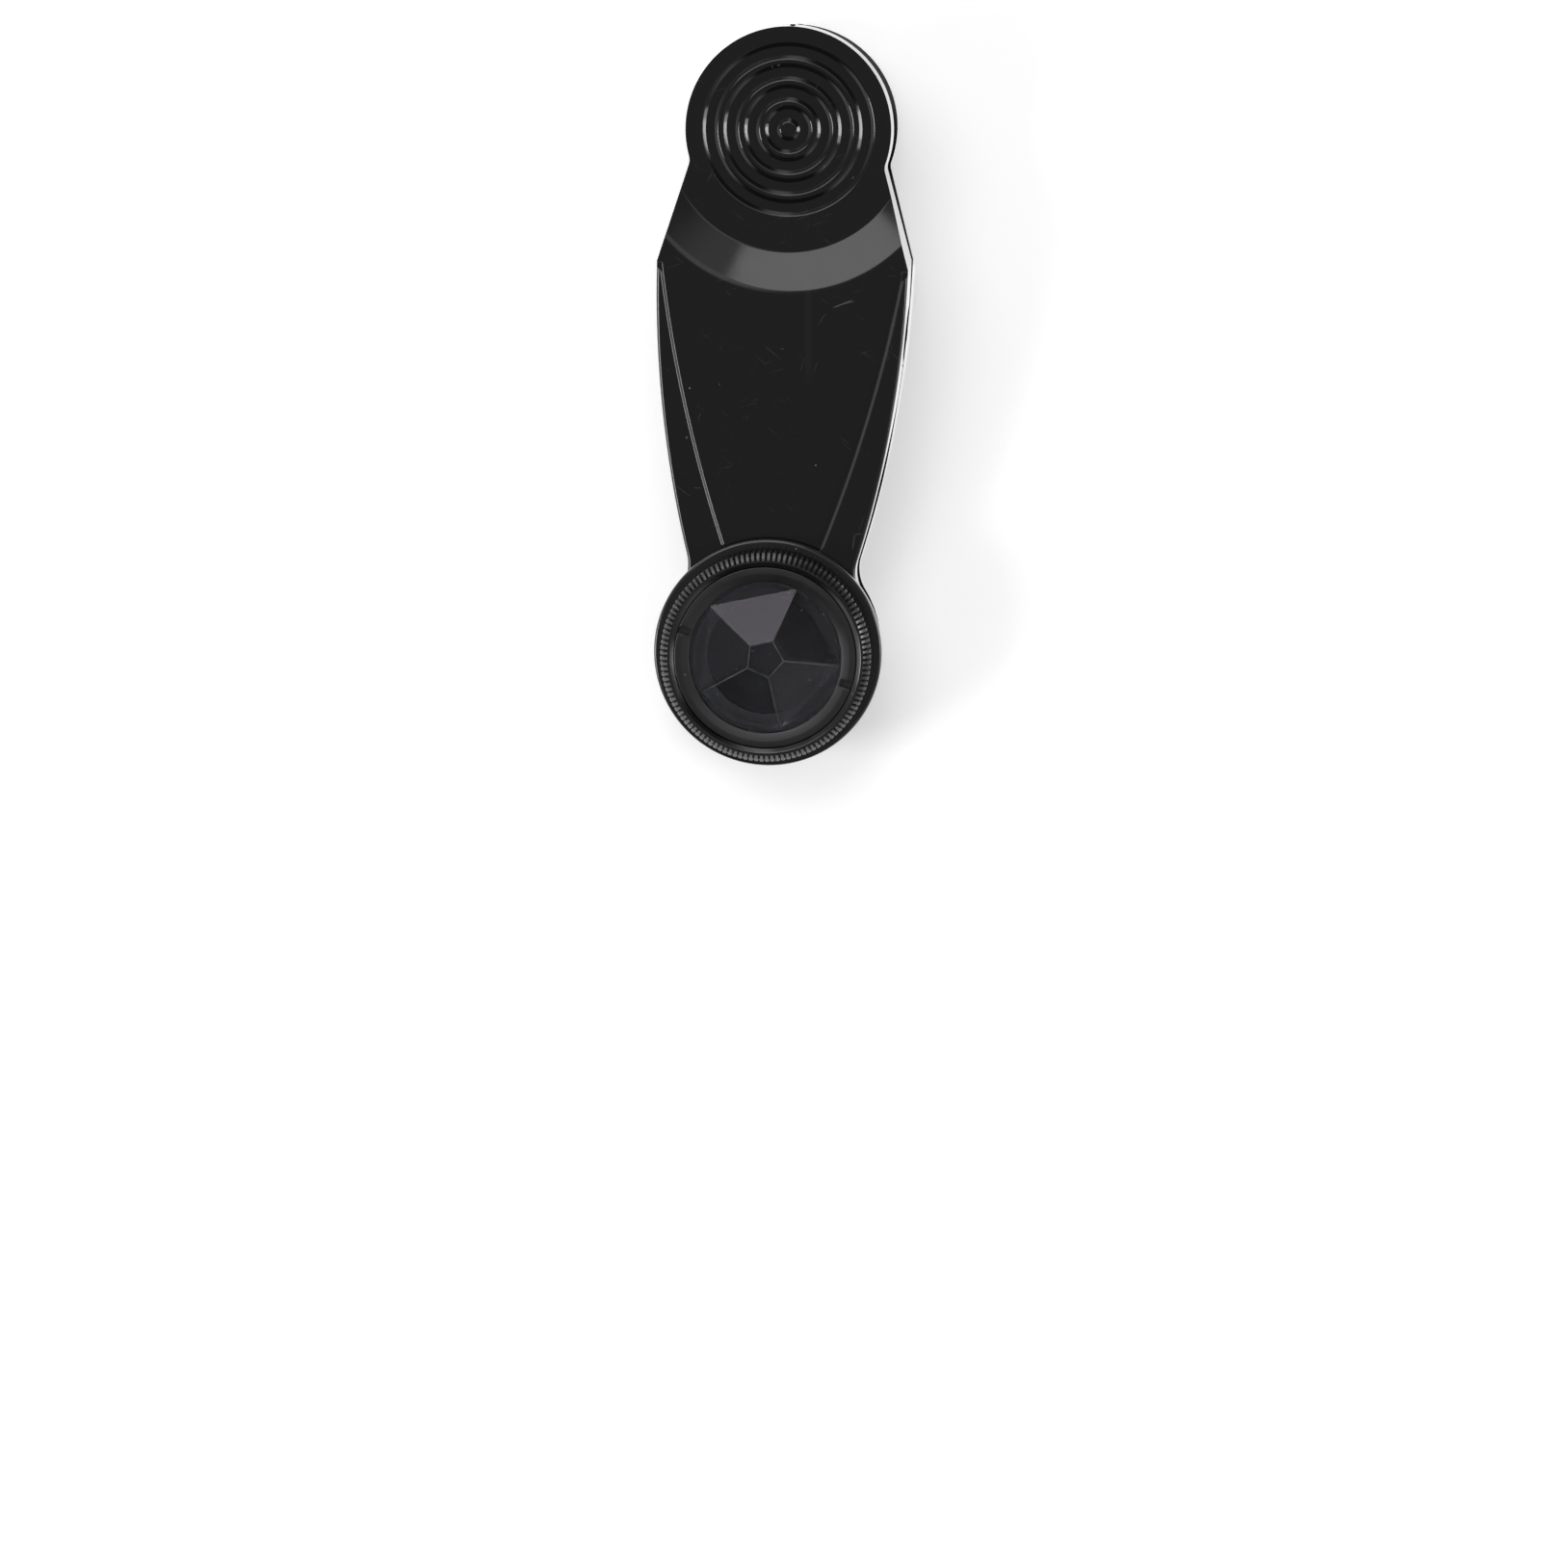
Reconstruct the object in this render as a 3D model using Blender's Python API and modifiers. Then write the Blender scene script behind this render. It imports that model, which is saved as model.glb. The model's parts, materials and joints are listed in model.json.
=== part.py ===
"""Clip-on phone lens: two moulded arms on a sprung pin, with a turning faceted lens in the front jaw.

The clip lies on the rear arm's outer face. +Y runs to the thumb pads, +Z out of the front arm.
Each arm is modelled with its origin on the hinge axis, its length along Y and its outer face up.
Each lens piece is modelled with its origin on the lens axis, from the jaw's outer face up.
"""

import math

import bmesh
import bpy
from mathutils import Matrix, Vector

MM = 0.001

# Arm outline, in plan
THUMB_REACH = 23.0 * MM
JAW_REACH = 35.0 * MM
THUMB_RADIUS = 11.44 * MM
JAW_RADIUS = 12.2 * MM
SHOULDER_HALF_WIDTH = 13.65 * MM
SHOULDER_FROM_THUMB = 14.4 * MM
NECK_FROM_THUMB = 3.82 * MM
SIDE_RADIUS = 120.0 * MM
THUMB_NECK_FILLET = 1.6 * MM
JAW_NECK_FILLET = 2.2 * MM
SIDE_STEPS = 10

# Arm section. The walls lean in by the mould's draft, and have the plan's size at the thumb rim
DRAFT = math.radians(4)
BODY_RISE = 6.8 * MM
PLATE = 2.0 * MM
SKIRT_WALL = 1.7 * MM
THUMB_DROP = 1.9 * MM
JAW_PLATE = 2.2 * MM
EDGE_ROUND = 0.7 * MM
EDGE_ROUND_STEPS = 2
RIM_AT_HINGE = 0.4 * MM
RIM_AT_THROAT = 1.0 * MM
THUMB_SKIRT = 0.1 * MM
THROAT_REACH = 7.0 * MM
JAW_RIM_REACH = 16.0 * MM

# Scoop between the body and the thumb pad, and the grooves in the pad
SCOOP_INNER_RADIUS = 13.7 * MM
SCOOP_OUTER_RADIUS = 18.2 * MM
SCOOP_ROUND = 0.5 * MM
GROOVES = 4
GROOVE_WIDTH = 1.15 * MM
GROOVE_PITCH = 2.3 * MM
FIRST_GROOVE_RADIUS = 1.15 * MM
GROOVE_DEPTH = 0.36 * MM
GROOVE_FLANK = 0.36 * MM
PAD_STEPS = 40

# Centre panel, a shallow recess between two creases that start at the shoulders
PANEL_RECESS = 0.3 * MM
CREASE_FROM_SIDE = 0.42 * MM
CREASE_FROM_SHOULDER = 0.6 * MM
CREASE_END_HALF_WIDTH = 5.35 * MM
CREASE_END_FROM_THUMB = 45.4 * MM
CREASE_RADIUS = 164.0 * MM
JAW_SEAT_RADIUS = 10.6 * MM

# Hinge
PIN_RADIUS = 1.0 * MM
PIN_FIT = 0.1 * MM
PIN_CHAMFER = 0.2 * MM
EAR_RADIUS = 3.2 * MM
EAR_INSET = 0.25 * MM
LUG_RADIUS = 3.0 * MM
LUG_WIDTH = 1.8 * MM
EAR_GAP = 0.45 * MM
EAR_RELIEF = 0.35 * MM
HINGE_STEPS = 32

# Spring
WIRE_RADIUS = 0.45 * MM
COIL_RADIUS = 2.7 * MM
COIL_TURNS = 5
COIL_PITCH = 1.05 * MM
COIL_POINTS_PER_TURN = 12
LEG_REACH = 13.0 * MM
LEG_GAP = 0.3 * MM

# Jaw pads
SEAT_GAP = 0.15 * MM
JAW_PAD = 1.2 * MM
JAW_PAD_FIT = 0.3 * MM
JAW_PAD_PROUD = 0.65 * MM
JAW_PAD_ROUND = 0.25 * MM
CLOSED_GAP = 0.3 * MM

# Knurled bezel
BEZEL_RADIUS = 11.65 * MM
BEZEL_BOTTOM_CHAMFER = 0.3 * MM
BEZEL_TOP_CHAMFER = 0.55 * MM
BEZEL_MOUTH_WALL = 1.5 * MM
BEZEL_MOUTH_BEVEL = 0.55 * MM
BEZEL_MOUTH_DEPTH = 0.25 * MM
SLEEVE_WALL = 2.13 * MM
LEDGE_WIDTH = 1.92 * MM
LEDGE = 0.4 * MM
KNURL_TEETH = 200
KNURL_DEPTH = 0.3 * MM

# Lens base
APERTURE_RADIUS = 6.3 * MM
THREAD_WALL = 1.1 * MM
THREAD_FIT = 0.1 * MM
FLANGE_MARGIN = 0.95 * MM
FLANGE = 1.2 * MM
FLANGE_CHAMFER = 0.3 * MM
HUB_RISE = 1.7 * MM
RUNNING_FIT = 0.12 * MM
TURNED_STEPS = 48

# Slip washer and snap ring
WASHER = 0.25 * MM
WASHER_FROM_HUB = 0.5 * MM
WASHER_FROM_RIM = 0.45 * MM
RING_WIRE_RADIUS = 0.22 * MM
RING_FIT = 0.08 * MM
RING_OPENING = math.radians(24)
RING_POINTS = 32

# Glass and what clamps it
GASKET = 0.15 * MM
GASKET_FROM_LEDGE = 0.4 * MM
GLASS_FIT = 0.25 * MM
GLASS_RIM = 0.5 * MM
PRISM_FROM_RETAINER = 0.25 * MM
PRISM_TOP_RADIUS = 2.14 * MM
PRISM_RISE = 1.5 * MM
PRISM_SIDES = 5
PRISM_TURN = math.radians(-22.3)
RETAINER = 0.6 * MM
RETAINER_FIT = 0.1 * MM
RETAINER_WIDTH = 1.6 * MM
RETAINER_BEVEL = 0.9 * MM
RETAINER_BEVEL_DROP = 0.22 * MM
NOTCH_LENGTH = 1.3 * MM
NOTCH_WIDTH = 0.8 * MM
NOTCH_TURN = math.radians(-15.8)

# Cutters reach this far past what they cut, and clear a face that they would only graze by less
OVERRUN = 3.0 * MM
SKIM = 0.02 * MM

# Radii in the lens, from the bezel's rim inwards
BEZEL_BORE_RADIUS = BEZEL_RADIUS - BEZEL_MOUTH_WALL
SLEEVE_RADIUS = BEZEL_RADIUS - SLEEVE_WALL
LEDGE_RADIUS = SLEEVE_RADIUS - LEDGE_WIDTH
HUB_RADIUS = SLEEVE_RADIUS - RUNNING_FIT
FLANGE_RADIUS = BEZEL_RADIUS + FLANGE_MARGIN
THREAD_RADIUS = APERTURE_RADIUS + THREAD_WALL
WASHER_INNER_RADIUS = HUB_RADIUS + WASHER_FROM_HUB
WASHER_OUTER_RADIUS = BEZEL_RADIUS - WASHER_FROM_RIM
GLASS_RADIUS = BEZEL_BORE_RADIUS - GLASS_FIT
GASKET_INNER_RADIUS = LEDGE_RADIUS + GASKET_FROM_LEDGE
RETAINER_OUTER_RADIUS = BEZEL_BORE_RADIUS - RETAINER_FIT
RETAINER_INNER_RADIUS = RETAINER_OUTER_RADIUS - RETAINER_WIDTH
PRISM_BASE_RADIUS = RETAINER_INNER_RADIUS - PRISM_FROM_RETAINER
RING_GROOVE_HALF = RING_WIRE_RADIUS + RING_FIT

# Radii of the jaw pads, which lie inside the jaws' skirts
JAW_PAD_RADIUS = JAW_RADIUS - SKIRT_WALL - JAW_PAD_FIT
JAW_PAD_HOLE_RADIUS = THREAD_RADIUS + JAW_PAD_FIT

# Levels in an arm, measured outwards from the hinge axis
PAD_LEVEL = BODY_RISE - THUMB_DROP
PLATE_UNDERSIDE = BODY_RISE - PLATE
PAD_UNDERSIDE = PAD_LEVEL - PLATE
JAW_UNDERSIDE = BODY_RISE - JAW_PLATE
JAW_PAD_TOP = JAW_UNDERSIDE - SEAT_GAP
JAW_PAD_FACE = JAW_PAD_TOP - JAW_PAD
RIM_AT_JAW = JAW_PAD_FACE + JAW_PAD_PROUD
RIM_AT_THUMB = PAD_UNDERSIDE - THUMB_SKIRT

# The arms lean apart until the jaw pads' tips meet
REST_HALF_ANGLE = math.atan((JAW_PAD_FACE - CLOSED_GAP / 2) / (JAW_REACH + JAW_PAD_RADIUS))
REST_ANGLE = 2 * REST_HALF_ANGLE

# Levels in the lens, measured from the jaw's outer face
FLANGE_BOTTOM = SEAT_GAP
FLANGE_TOP = FLANGE_BOTTOM + FLANGE
WASHER_BOTTOM = FLANGE_TOP + SEAT_GAP / 2
BEZEL_BOTTOM = WASHER_BOTTOM + WASHER + SEAT_GAP / 2
HUB_TOP = FLANGE_TOP + HUB_RISE
LEDGE_BOTTOM = HUB_TOP + SEAT_GAP
LEDGE_TOP = LEDGE_BOTTOM + LEDGE
GASKET_BOTTOM = LEDGE_TOP + SEAT_GAP / 2
GLASS_BOTTOM = GASKET_BOTTOM + GASKET + SEAT_GAP / 2
GLASS_RIM_TOP = GLASS_BOTTOM + GLASS_RIM
RETAINER_BOTTOM = GLASS_RIM_TOP + SEAT_GAP / 2
RETAINER_TOP = RETAINER_BOTTOM + RETAINER
BEZEL_TOP = RETAINER_TOP + BEZEL_MOUTH_DEPTH
RING_LEVEL = (BEZEL_BOTTOM + HUB_TOP) / 2

# Lays an outline drawn as (y, z) on its side, to be extruded along X
ON_SIDE = Matrix(((0, 0, 1, 0), (1, 0, 0, 0), (0, 1, 0, 0), (0, 0, 0, 1)))

# The row's origin lies under the middle of the whole length
FLANGE_TIP = (JAW_REACH + FLANGE_RADIUS) * math.cos(REST_ANGLE)
FLANGE_TIP += (BODY_RISE + FLANGE_TOP - FLANGE_CHAMFER) * math.sin(REST_ANGLE)
HINGE_Y = (FLANGE_TIP - THUMB_REACH - THUMB_RADIUS) / 2
HINGE_Z = BODY_RISE


def clear_scene():
    for item in list(bpy.data.objects):
        bpy.data.objects.remove(item, do_unlink=True)


def make_collection(name):
    found = bpy.data.collections.new(name)
    bpy.context.scene.collection.children.link(found)
    return found


def add_object(name, data, collection):
    item = bpy.data.objects.new(name, data)
    collection.objects.link(item)
    return item


def add_mesh(name, bm, collection):
    mesh = bpy.data.meshes.new(name)
    bm.to_mesh(mesh)
    bm.free()
    return add_object(name, mesh, collection)


def as_cutter(item):
    item.hide_render = True
    item.display_type = "WIRE"
    return item


def give_material(item, colour, roughness, metallic, alpha=1.0):
    material = bpy.data.materials.new(item.name)
    material.use_nodes = True
    shader = material.node_tree.nodes["Principled BSDF"]
    shader.inputs["Base Color"].default_value = (*colour, 1.0)
    shader.inputs["Roughness"].default_value = roughness
    shader.inputs["Metallic"].default_value = metallic
    shader.inputs["Alpha"].default_value = alpha
    item.data.materials.append(material)


def finish_piece(item, colour, roughness, metallic, alpha=1.0):
    """Gives a piece its own material, and smooth shading on its round faces."""
    give_material(item, colour, roughness, metallic, alpha)
    item.data.shade_smooth()
    item.data.set_sharp_from_angle(angle=math.radians(35))


def evaluated_mesh(item):
    bpy.context.view_layer.update()
    return bpy.data.meshes.new_from_object(item.evaluated_get(bpy.context.evaluated_depsgraph_get()))


def cut(item, cutter, operation="DIFFERENCE"):
    """Cuts or joins with a hidden shape, which is placed in the piece's own frame."""
    as_cutter(cutter).parent = item
    step = item.modifiers.new(cutter.name, "BOOLEAN")
    step.operation = operation
    step.solver = "EXACT"
    step.object = cutter


def turned(name, profile, steps, collection):
    """A solid turned about Z. The closed profile of (radius, height) runs down its outer side."""
    bm = bmesh.new()
    points = [bm.verts.new((radius, 0.0, height)) for radius, height in profile]
    on_axis = profile[0][0] == 0.0
    for first, second in zip(points, points[1:]):
        bm.edges.new((first, second))
    if not on_axis:
        bm.edges.new((points[-1], points[0]))
    item = add_mesh(name, bm, collection)
    screw = item.modifiers.new("Turn", "SCREW")
    screw.steps = steps
    screw.render_steps = steps
    screw.use_merge_vertices = True
    screw.merge_threshold = 0.00001
    return item


def extruded(name, outline, low, high, collection, turn=None):
    """A flat outline made solid between two levels. The fill's inner edges are dissolved."""
    curve = bpy.data.curves.new(name, "CURVE")
    curve.dimensions = "2D"
    curve.fill_mode = "BOTH"
    curve.extrude = (high - low) / 2
    spline = curve.splines.new("POLY")
    spline.points.add(len(outline) - 1)
    for point, (x, y) in zip(spline.points, outline):
        point.co = (x, y, 0.0, 1.0)
    spline.use_cyclic_u = True
    guide = add_object(name + "_outline", curve, collection)
    mesh = evaluated_mesh(guide)
    bpy.data.objects.remove(guide, do_unlink=True)
    bm = bmesh.new()
    bm.from_mesh(mesh)
    bpy.data.meshes.remove(mesh)
    bmesh.ops.remove_doubles(bm, verts=bm.verts, dist=1e-6)
    flat = [edge for edge in bm.edges if edge.is_manifold and edge.calc_face_angle() < 1e-4]
    bmesh.ops.dissolve_edges(bm, edges=flat, use_verts=False)
    bmesh.ops.translate(bm, verts=bm.verts, vec=(0.0, 0.0, (low + high) / 2))
    bmesh.ops.recalc_face_normals(bm, faces=bm.faces)
    if turn is not None:
        bmesh.ops.transform(bm, matrix=turn, verts=bm.verts)
    return add_mesh(name, bm, collection)


def drafted(name, lower, low, upper, high, collection):
    """A solid between two flat outlines that have as many points and parallel edges."""
    bm = bmesh.new()
    foot = [bm.verts.new((x, y, low)) for x, y in lower]
    head = [bm.verts.new((x, y, high)) for x, y in upper]
    bm.faces.new(foot)
    bm.faces.new(head)
    for i in range(len(foot)):
        bm.faces.new((foot[i - 1], foot[i], head[i], head[i - 1]))
    bmesh.ops.recalc_face_normals(bm, faces=bm.faces)
    return add_mesh(name, bm, collection)


def cross_cylinder(name, radius, start, end, collection, steps=HINGE_STEPS):
    """A cylinder along X, centred on the hinge axis, from start to end."""
    bm = bmesh.new()
    bmesh.ops.create_cone(
        bm, cap_ends=True, segments=steps, radius1=radius, radius2=radius, depth=end - start
    )
    bmesh.ops.rotate(bm, verts=bm.verts, matrix=Matrix.Rotation(math.radians(90), 3, "Y"))
    bmesh.ops.translate(bm, verts=bm.verts, vec=((start + end) / 2, 0.0, 0.0))
    return add_mesh(name, bm, collection)


def box(name, low, high, collection):
    bm = bmesh.new()
    bmesh.ops.create_cube(bm, size=1.0)
    size = Vector(high) - Vector(low)
    bmesh.ops.scale(bm, verts=bm.verts, vec=size)
    bmesh.ops.translate(bm, verts=bm.verts, vec=(Vector(low) + Vector(high)) / 2)
    return add_mesh(name, bm, collection)


def arc(centre, radius, start, end, steps):
    """Points on an arc between two angles, both ends included."""
    points = []
    for i in range(steps + 1):
        angle = start + (end - start) * i / steps
        points.append(centre + radius * Vector((math.cos(angle), math.sin(angle))))
    return points


def heading(vector):
    return math.atan2(vector.y, vector.x)


def circles_meet(first, first_radius, second, second_radius):
    """The right-hand point where two circles cross."""
    across = second - first
    distance = across.length
    along = (first_radius ** 2 - second_radius ** 2 + distance ** 2) / (2 * distance)
    off = math.sqrt(first_radius ** 2 - along ** 2)
    unit = across / distance
    side = Vector((-unit.y, unit.x))
    return max(first + along * unit + off * side, first + along * unit - off * side, key=lambda p: p.x)


def lines_meet(start, direction, other_start, other_direction):
    run = (other_start - start).cross(other_direction) / direction.cross(other_direction)
    return start + run * direction


def arm_outline(inset=0.0):
    """The arm's plan, drawn inset, clockwise from the thumb end. Its edges run parallel at any inset."""
    thumb = Vector((0.0, THUMB_REACH))
    jaw = Vector((0.0, -JAW_REACH))
    shoulder = Vector((SHOULDER_HALF_WIDTH, THUMB_REACH - SHOULDER_FROM_THUMB))
    side_centre = shoulder - Vector((SIDE_RADIUS, 0.0))
    thumb_radius = THUMB_RADIUS - inset
    jaw_radius = JAW_RADIUS - inset
    side_radius = SIDE_RADIUS - inset
    neck_fillet = THUMB_NECK_FILLET + inset
    jaw_fillet = JAW_NECK_FILLET + inset

    neck_reach = THUMB_RADIUS + THUMB_NECK_FILLET
    neck = thumb + Vector((math.sqrt(neck_reach ** 2 - NECK_FROM_THUMB ** 2), -NECK_FROM_THUMB))
    to_neck = neck - shoulder
    run = Matrix.Rotation(math.asin(THUMB_NECK_FILLET / to_neck.length), 2) @ to_neck.normalized()
    out = Vector((run.y, -run.x))
    throat = circles_meet(side_centre, side_radius + jaw_fillet, jaw, jaw_radius + jaw_fillet)
    side = arc(side_centre, side_radius, 0.0, heading(throat - side_centre), SIDE_STEPS)[1:]
    chord = Matrix.Rotation(heading(throat - side_centre) / (2 * SIDE_STEPS), 2) @ Vector((0.0, 1.0))
    corner = lines_meet(shoulder - inset * out, run, side[0], chord)

    half = arc(thumb, thumb_radius, math.radians(90), heading(neck - thumb), 18)
    half += arc(neck, neck_fillet, heading(thumb - neck) % (2 * math.pi), heading(-out) % (2 * math.pi), 4)[1:]
    half.append(corner)
    half += side
    half += arc(throat, jaw_fillet, heading(side_centre - throat), heading(jaw - throat) + 2 * math.pi, 5)[1:]
    half += arc(jaw, jaw_radius, heading(throat - jaw), math.radians(-90), 20)[1:]
    return half + [Vector((-point.x, point.y)) for point in reversed(half[1:-1])]


def pad_profile():
    """Down the outer side and back to the axis: the scoop, the pad's land and its grooves."""
    top = BODY_RISE + OVERRUN
    outer = SCOOP_OUTER_RADIUS
    inner = SCOOP_INNER_RADIUS
    slope = THUMB_DROP / (outer - inner)
    level = BODY_RISE - PANEL_RECESS
    lip = outer - PANEL_RECESS / slope
    profile = [(0.0, top), (outer + SCOOP_ROUND, top), (outer + SCOOP_ROUND, BODY_RISE + SCOOP_ROUND / 3)]
    profile.append((lip + SCOOP_ROUND, level + SKIM))
    profile.append((lip - SCOOP_ROUND, level - slope * SCOOP_ROUND))
    profile.append((inner + SCOOP_ROUND, PAD_LEVEL + slope * SCOOP_ROUND))
    profile.append((inner - SCOOP_ROUND, PAD_LEVEL))
    for i in reversed(range(GROOVES)):
        start = FIRST_GROOVE_RADIUS + i * GROOVE_PITCH
        end = start + GROOVE_WIDTH
        profile.append((end, PAD_LEVEL))
        profile.append((end - GROOVE_FLANK, PAD_LEVEL - GROOVE_DEPTH))
        profile.append((start + GROOVE_FLANK, PAD_LEVEL - GROOVE_DEPTH))
        profile.append((start, PAD_LEVEL))
    profile.append((0.0, PAD_LEVEL))
    return profile


def pad_underside_profile():
    return [
        (0.0, BODY_RISE + OVERRUN),
        (SCOOP_OUTER_RADIUS, BODY_RISE + OVERRUN),
        (SCOOP_OUTER_RADIUS, PLATE_UNDERSIDE),
        (SCOOP_INNER_RADIUS, PAD_UNDERSIDE),
        (0.0, PAD_UNDERSIDE),
    ]


def panel_outline():
    """The recessed area: all of the thumb end, then the panel between its bowed creases, to the jaw."""
    jaw = Vector((0.0, -JAW_REACH))
    top = Vector((SHOULDER_HALF_WIDTH - CREASE_FROM_SIDE, THUMB_REACH - SHOULDER_FROM_THUMB - CREASE_FROM_SHOULDER))
    chord = Vector((CREASE_END_HALF_WIDTH, THUMB_REACH - CREASE_END_FROM_THUMB)) - top
    rise = math.sqrt(CREASE_RADIUS ** 2 - (chord.length / 2) ** 2)
    centre = top + chord / 2 + rise * Vector((chord.y, -chord.x)).normalized()
    last = circles_meet(centre, CREASE_RADIUS, jaw, JAW_SEAT_RADIUS)
    beyond = THUMB_REACH + THUMB_RADIUS + OVERRUN
    wide = SHOULDER_HALF_WIDTH + OVERRUN
    half = [Vector((0.0, beyond)), Vector((wide, beyond)), Vector((wide, top.y + PANEL_RECESS))]
    half += arc(centre, CREASE_RADIUS, heading(top - centre), heading(last - centre), 8)
    half += arc(jaw, JAW_SEAT_RADIUS, heading(last - jaw), math.radians(90), 5)[1:]
    return half + [Vector((-point.x, point.y)) for point in reversed(half[1:-1])]


def rim_outline():
    """Side view of what is trimmed off below the skirts, as (y, z)."""
    low = -BODY_RISE - 3 * OVERRUN
    thumb_end = THUMB_REACH + THUMB_RADIUS
    jaw_end = JAW_REACH + JAW_RADIUS + OVERRUN
    rise = (RIM_AT_THUMB - RIM_AT_HINGE) / thumb_end
    past = thumb_end + OVERRUN
    return [
        (-jaw_end, low),
        (-jaw_end, RIM_AT_JAW),
        (-JAW_RIM_REACH, RIM_AT_JAW),
        (-THROAT_REACH, RIM_AT_THROAT),
        (0.0, RIM_AT_HINGE),
        (past, RIM_AT_HINGE + rise * past),
        (past, low),
    ]


def hinge_half_width():
    """The arm's half width at the hinge axis."""
    drop = THUMB_REACH - SHOULDER_FROM_THUMB
    return SHOULDER_HALF_WIDTH - SIDE_RADIUS + math.sqrt(SIDE_RADIUS ** 2 - drop ** 2)


def arm_blank(name, parts, cutters):
    """What both arms share: the rounded plan, the panel, scoop and pad, the hollow and the rim."""
    lower = arm_outline((-RIM_AT_HINGE - RIM_AT_THUMB) * math.tan(DRAFT))
    upper = arm_outline((BODY_RISE - RIM_AT_THUMB) * math.tan(DRAFT))
    arm = drafted(name, lower, -RIM_AT_HINGE, upper, BODY_RISE, parts)
    mark = arm.data.attributes.new("bevel_weight_edge", "FLOAT", "EDGE")
    for edge in arm.data.edges:
        ends = [arm.data.vertices[v].co.z for v in edge.vertices]
        if min(ends) > BODY_RISE - SEAT_GAP / 2:
            mark.data[edge.index].value = 1.0
    rounding = arm.modifiers.new("Edge rounding", "BEVEL")
    rounding.limit_method = "WEIGHT"
    rounding.width = EDGE_ROUND
    rounding.segments = EDGE_ROUND_STEPS

    panel = extruded(name + "_panel_cut", panel_outline(), BODY_RISE - PANEL_RECESS, BODY_RISE + OVERRUN, cutters)
    cut(arm, panel)
    scoop = turned(name + "_scoop_cut", pad_profile(), PAD_STEPS, cutters)
    scoop.location.y = THUMB_REACH
    cut(arm, scoop)

    hollow = extruded(name + "_hollow_cut", arm_outline(SKIRT_WALL), -OVERRUN, PLATE_UNDERSIDE, cutters)
    under_pad = turned(name + "_pad_underside", pad_underside_profile(), PAD_STEPS, cutters)
    under_pad.location.y = THUMB_REACH
    cut(hollow, under_pad)
    jaw_room = SCOOP_INNER_RADIUS
    jaw_block = box(
        name + "_jaw_block",
        (-jaw_room, -JAW_REACH - JAW_RADIUS - OVERRUN, JAW_UNDERSIDE),
        (jaw_room, -JAW_REACH + JAW_PAD_RADIUS + SEAT_GAP, BODY_RISE),
        cutters,
    )
    cut(hollow, jaw_block)
    cut(arm, hollow)

    wide = SHOULDER_HALF_WIDTH + OVERRUN
    rim = extruded(name + "_rim_cut", rim_outline(), -wide, wide, cutters, ON_SIDE)
    cut(arm, rim)
    return arm


def finish_arm(arm, ears, reliefs, bore_radius, cutters):
    """Adds an arm's hinge ears, clears room for the other arm's, and bores the pin hole."""
    for ear in ears:
        cut(arm, ear, "UNION")
    for relief in reliefs:
        cut(arm, relief)
    reach = SHOULDER_HALF_WIDTH + OVERRUN
    bore = cross_cylinder(arm.name + "_pin_bore", bore_radius, -reach, reach, cutters)
    cut(arm, bore)
    finish_piece(arm, (0.013, 0.013, 0.014), 0.22, 0.0)


def build_rear_arm(parts, cutters, hinge):
    arm = arm_blank("rear_arm", parts, cutters)
    outer = hinge_half_width() - EAR_INSET
    inner = hinge_half_width() - SKIRT_WALL
    ears = []
    for side, low, high in (("right", inner, outer), ("left", -outer, -inner)):
        ears.append(cross_cylinder("rear_ear_" + side, EAR_RADIUS, low, high, cutters))
    finish_arm(arm, ears, [], PIN_RADIUS + PIN_FIT / 2, cutters)
    arm.parent = hinge
    arm.rotation_euler = (0.0, math.pi, 0.0)


def lug_outline():
    """Side view of a lug that hangs from the plate, round about the pin, as (y, z)."""
    root = Vector((LUG_RADIUS, PLATE_UNDERSIDE + PLATE / 3))
    return [root] + arc(Vector((0.0, 0.0)), LUG_RADIUS, 0.0, -math.pi, 12) + [Vector((-root.x, root.y))]


def thread_hole(cutters):
    bm = bmesh.new()
    radius = THREAD_RADIUS + THREAD_FIT
    bmesh.ops.create_cone(
        bm, cap_ends=True, segments=TURNED_STEPS, radius1=radius, radius2=radius, depth=4 * BODY_RISE
    )
    hole = add_mesh("front_thread_hole", bm, cutters)
    hole.location.y = -JAW_REACH
    return hole


def build_front_arm(parts, cutters, lean):
    arm = arm_blank("front_arm", parts, cutters)
    lug_outer = hinge_half_width() - SKIRT_WALL - EAR_GAP
    lug_inner = lug_outer - LUG_WIDTH
    ears = []
    reliefs = []
    for side, sign in (("right", 1), ("left", -1)):
        low, high = sorted((sign * lug_inner, sign * lug_outer))
        ears.append(extruded("front_lug_" + side, lug_outline(), low, high, cutters, ON_SIDE))
        near = hinge_half_width() - SKIRT_WALL - EAR_GAP / 2
        low, high = sorted((sign * near, sign * (SHOULDER_HALF_WIDTH + OVERRUN)))
        reliefs.append(cross_cylinder("front_relief_" + side, EAR_RADIUS + EAR_RELIEF, low, high, cutters))
    finish_arm(arm, ears, reliefs, PIN_RADIUS + PIN_FIT, cutters)
    cut(arm, thread_hole(cutters))
    arm.parent = lean


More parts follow.
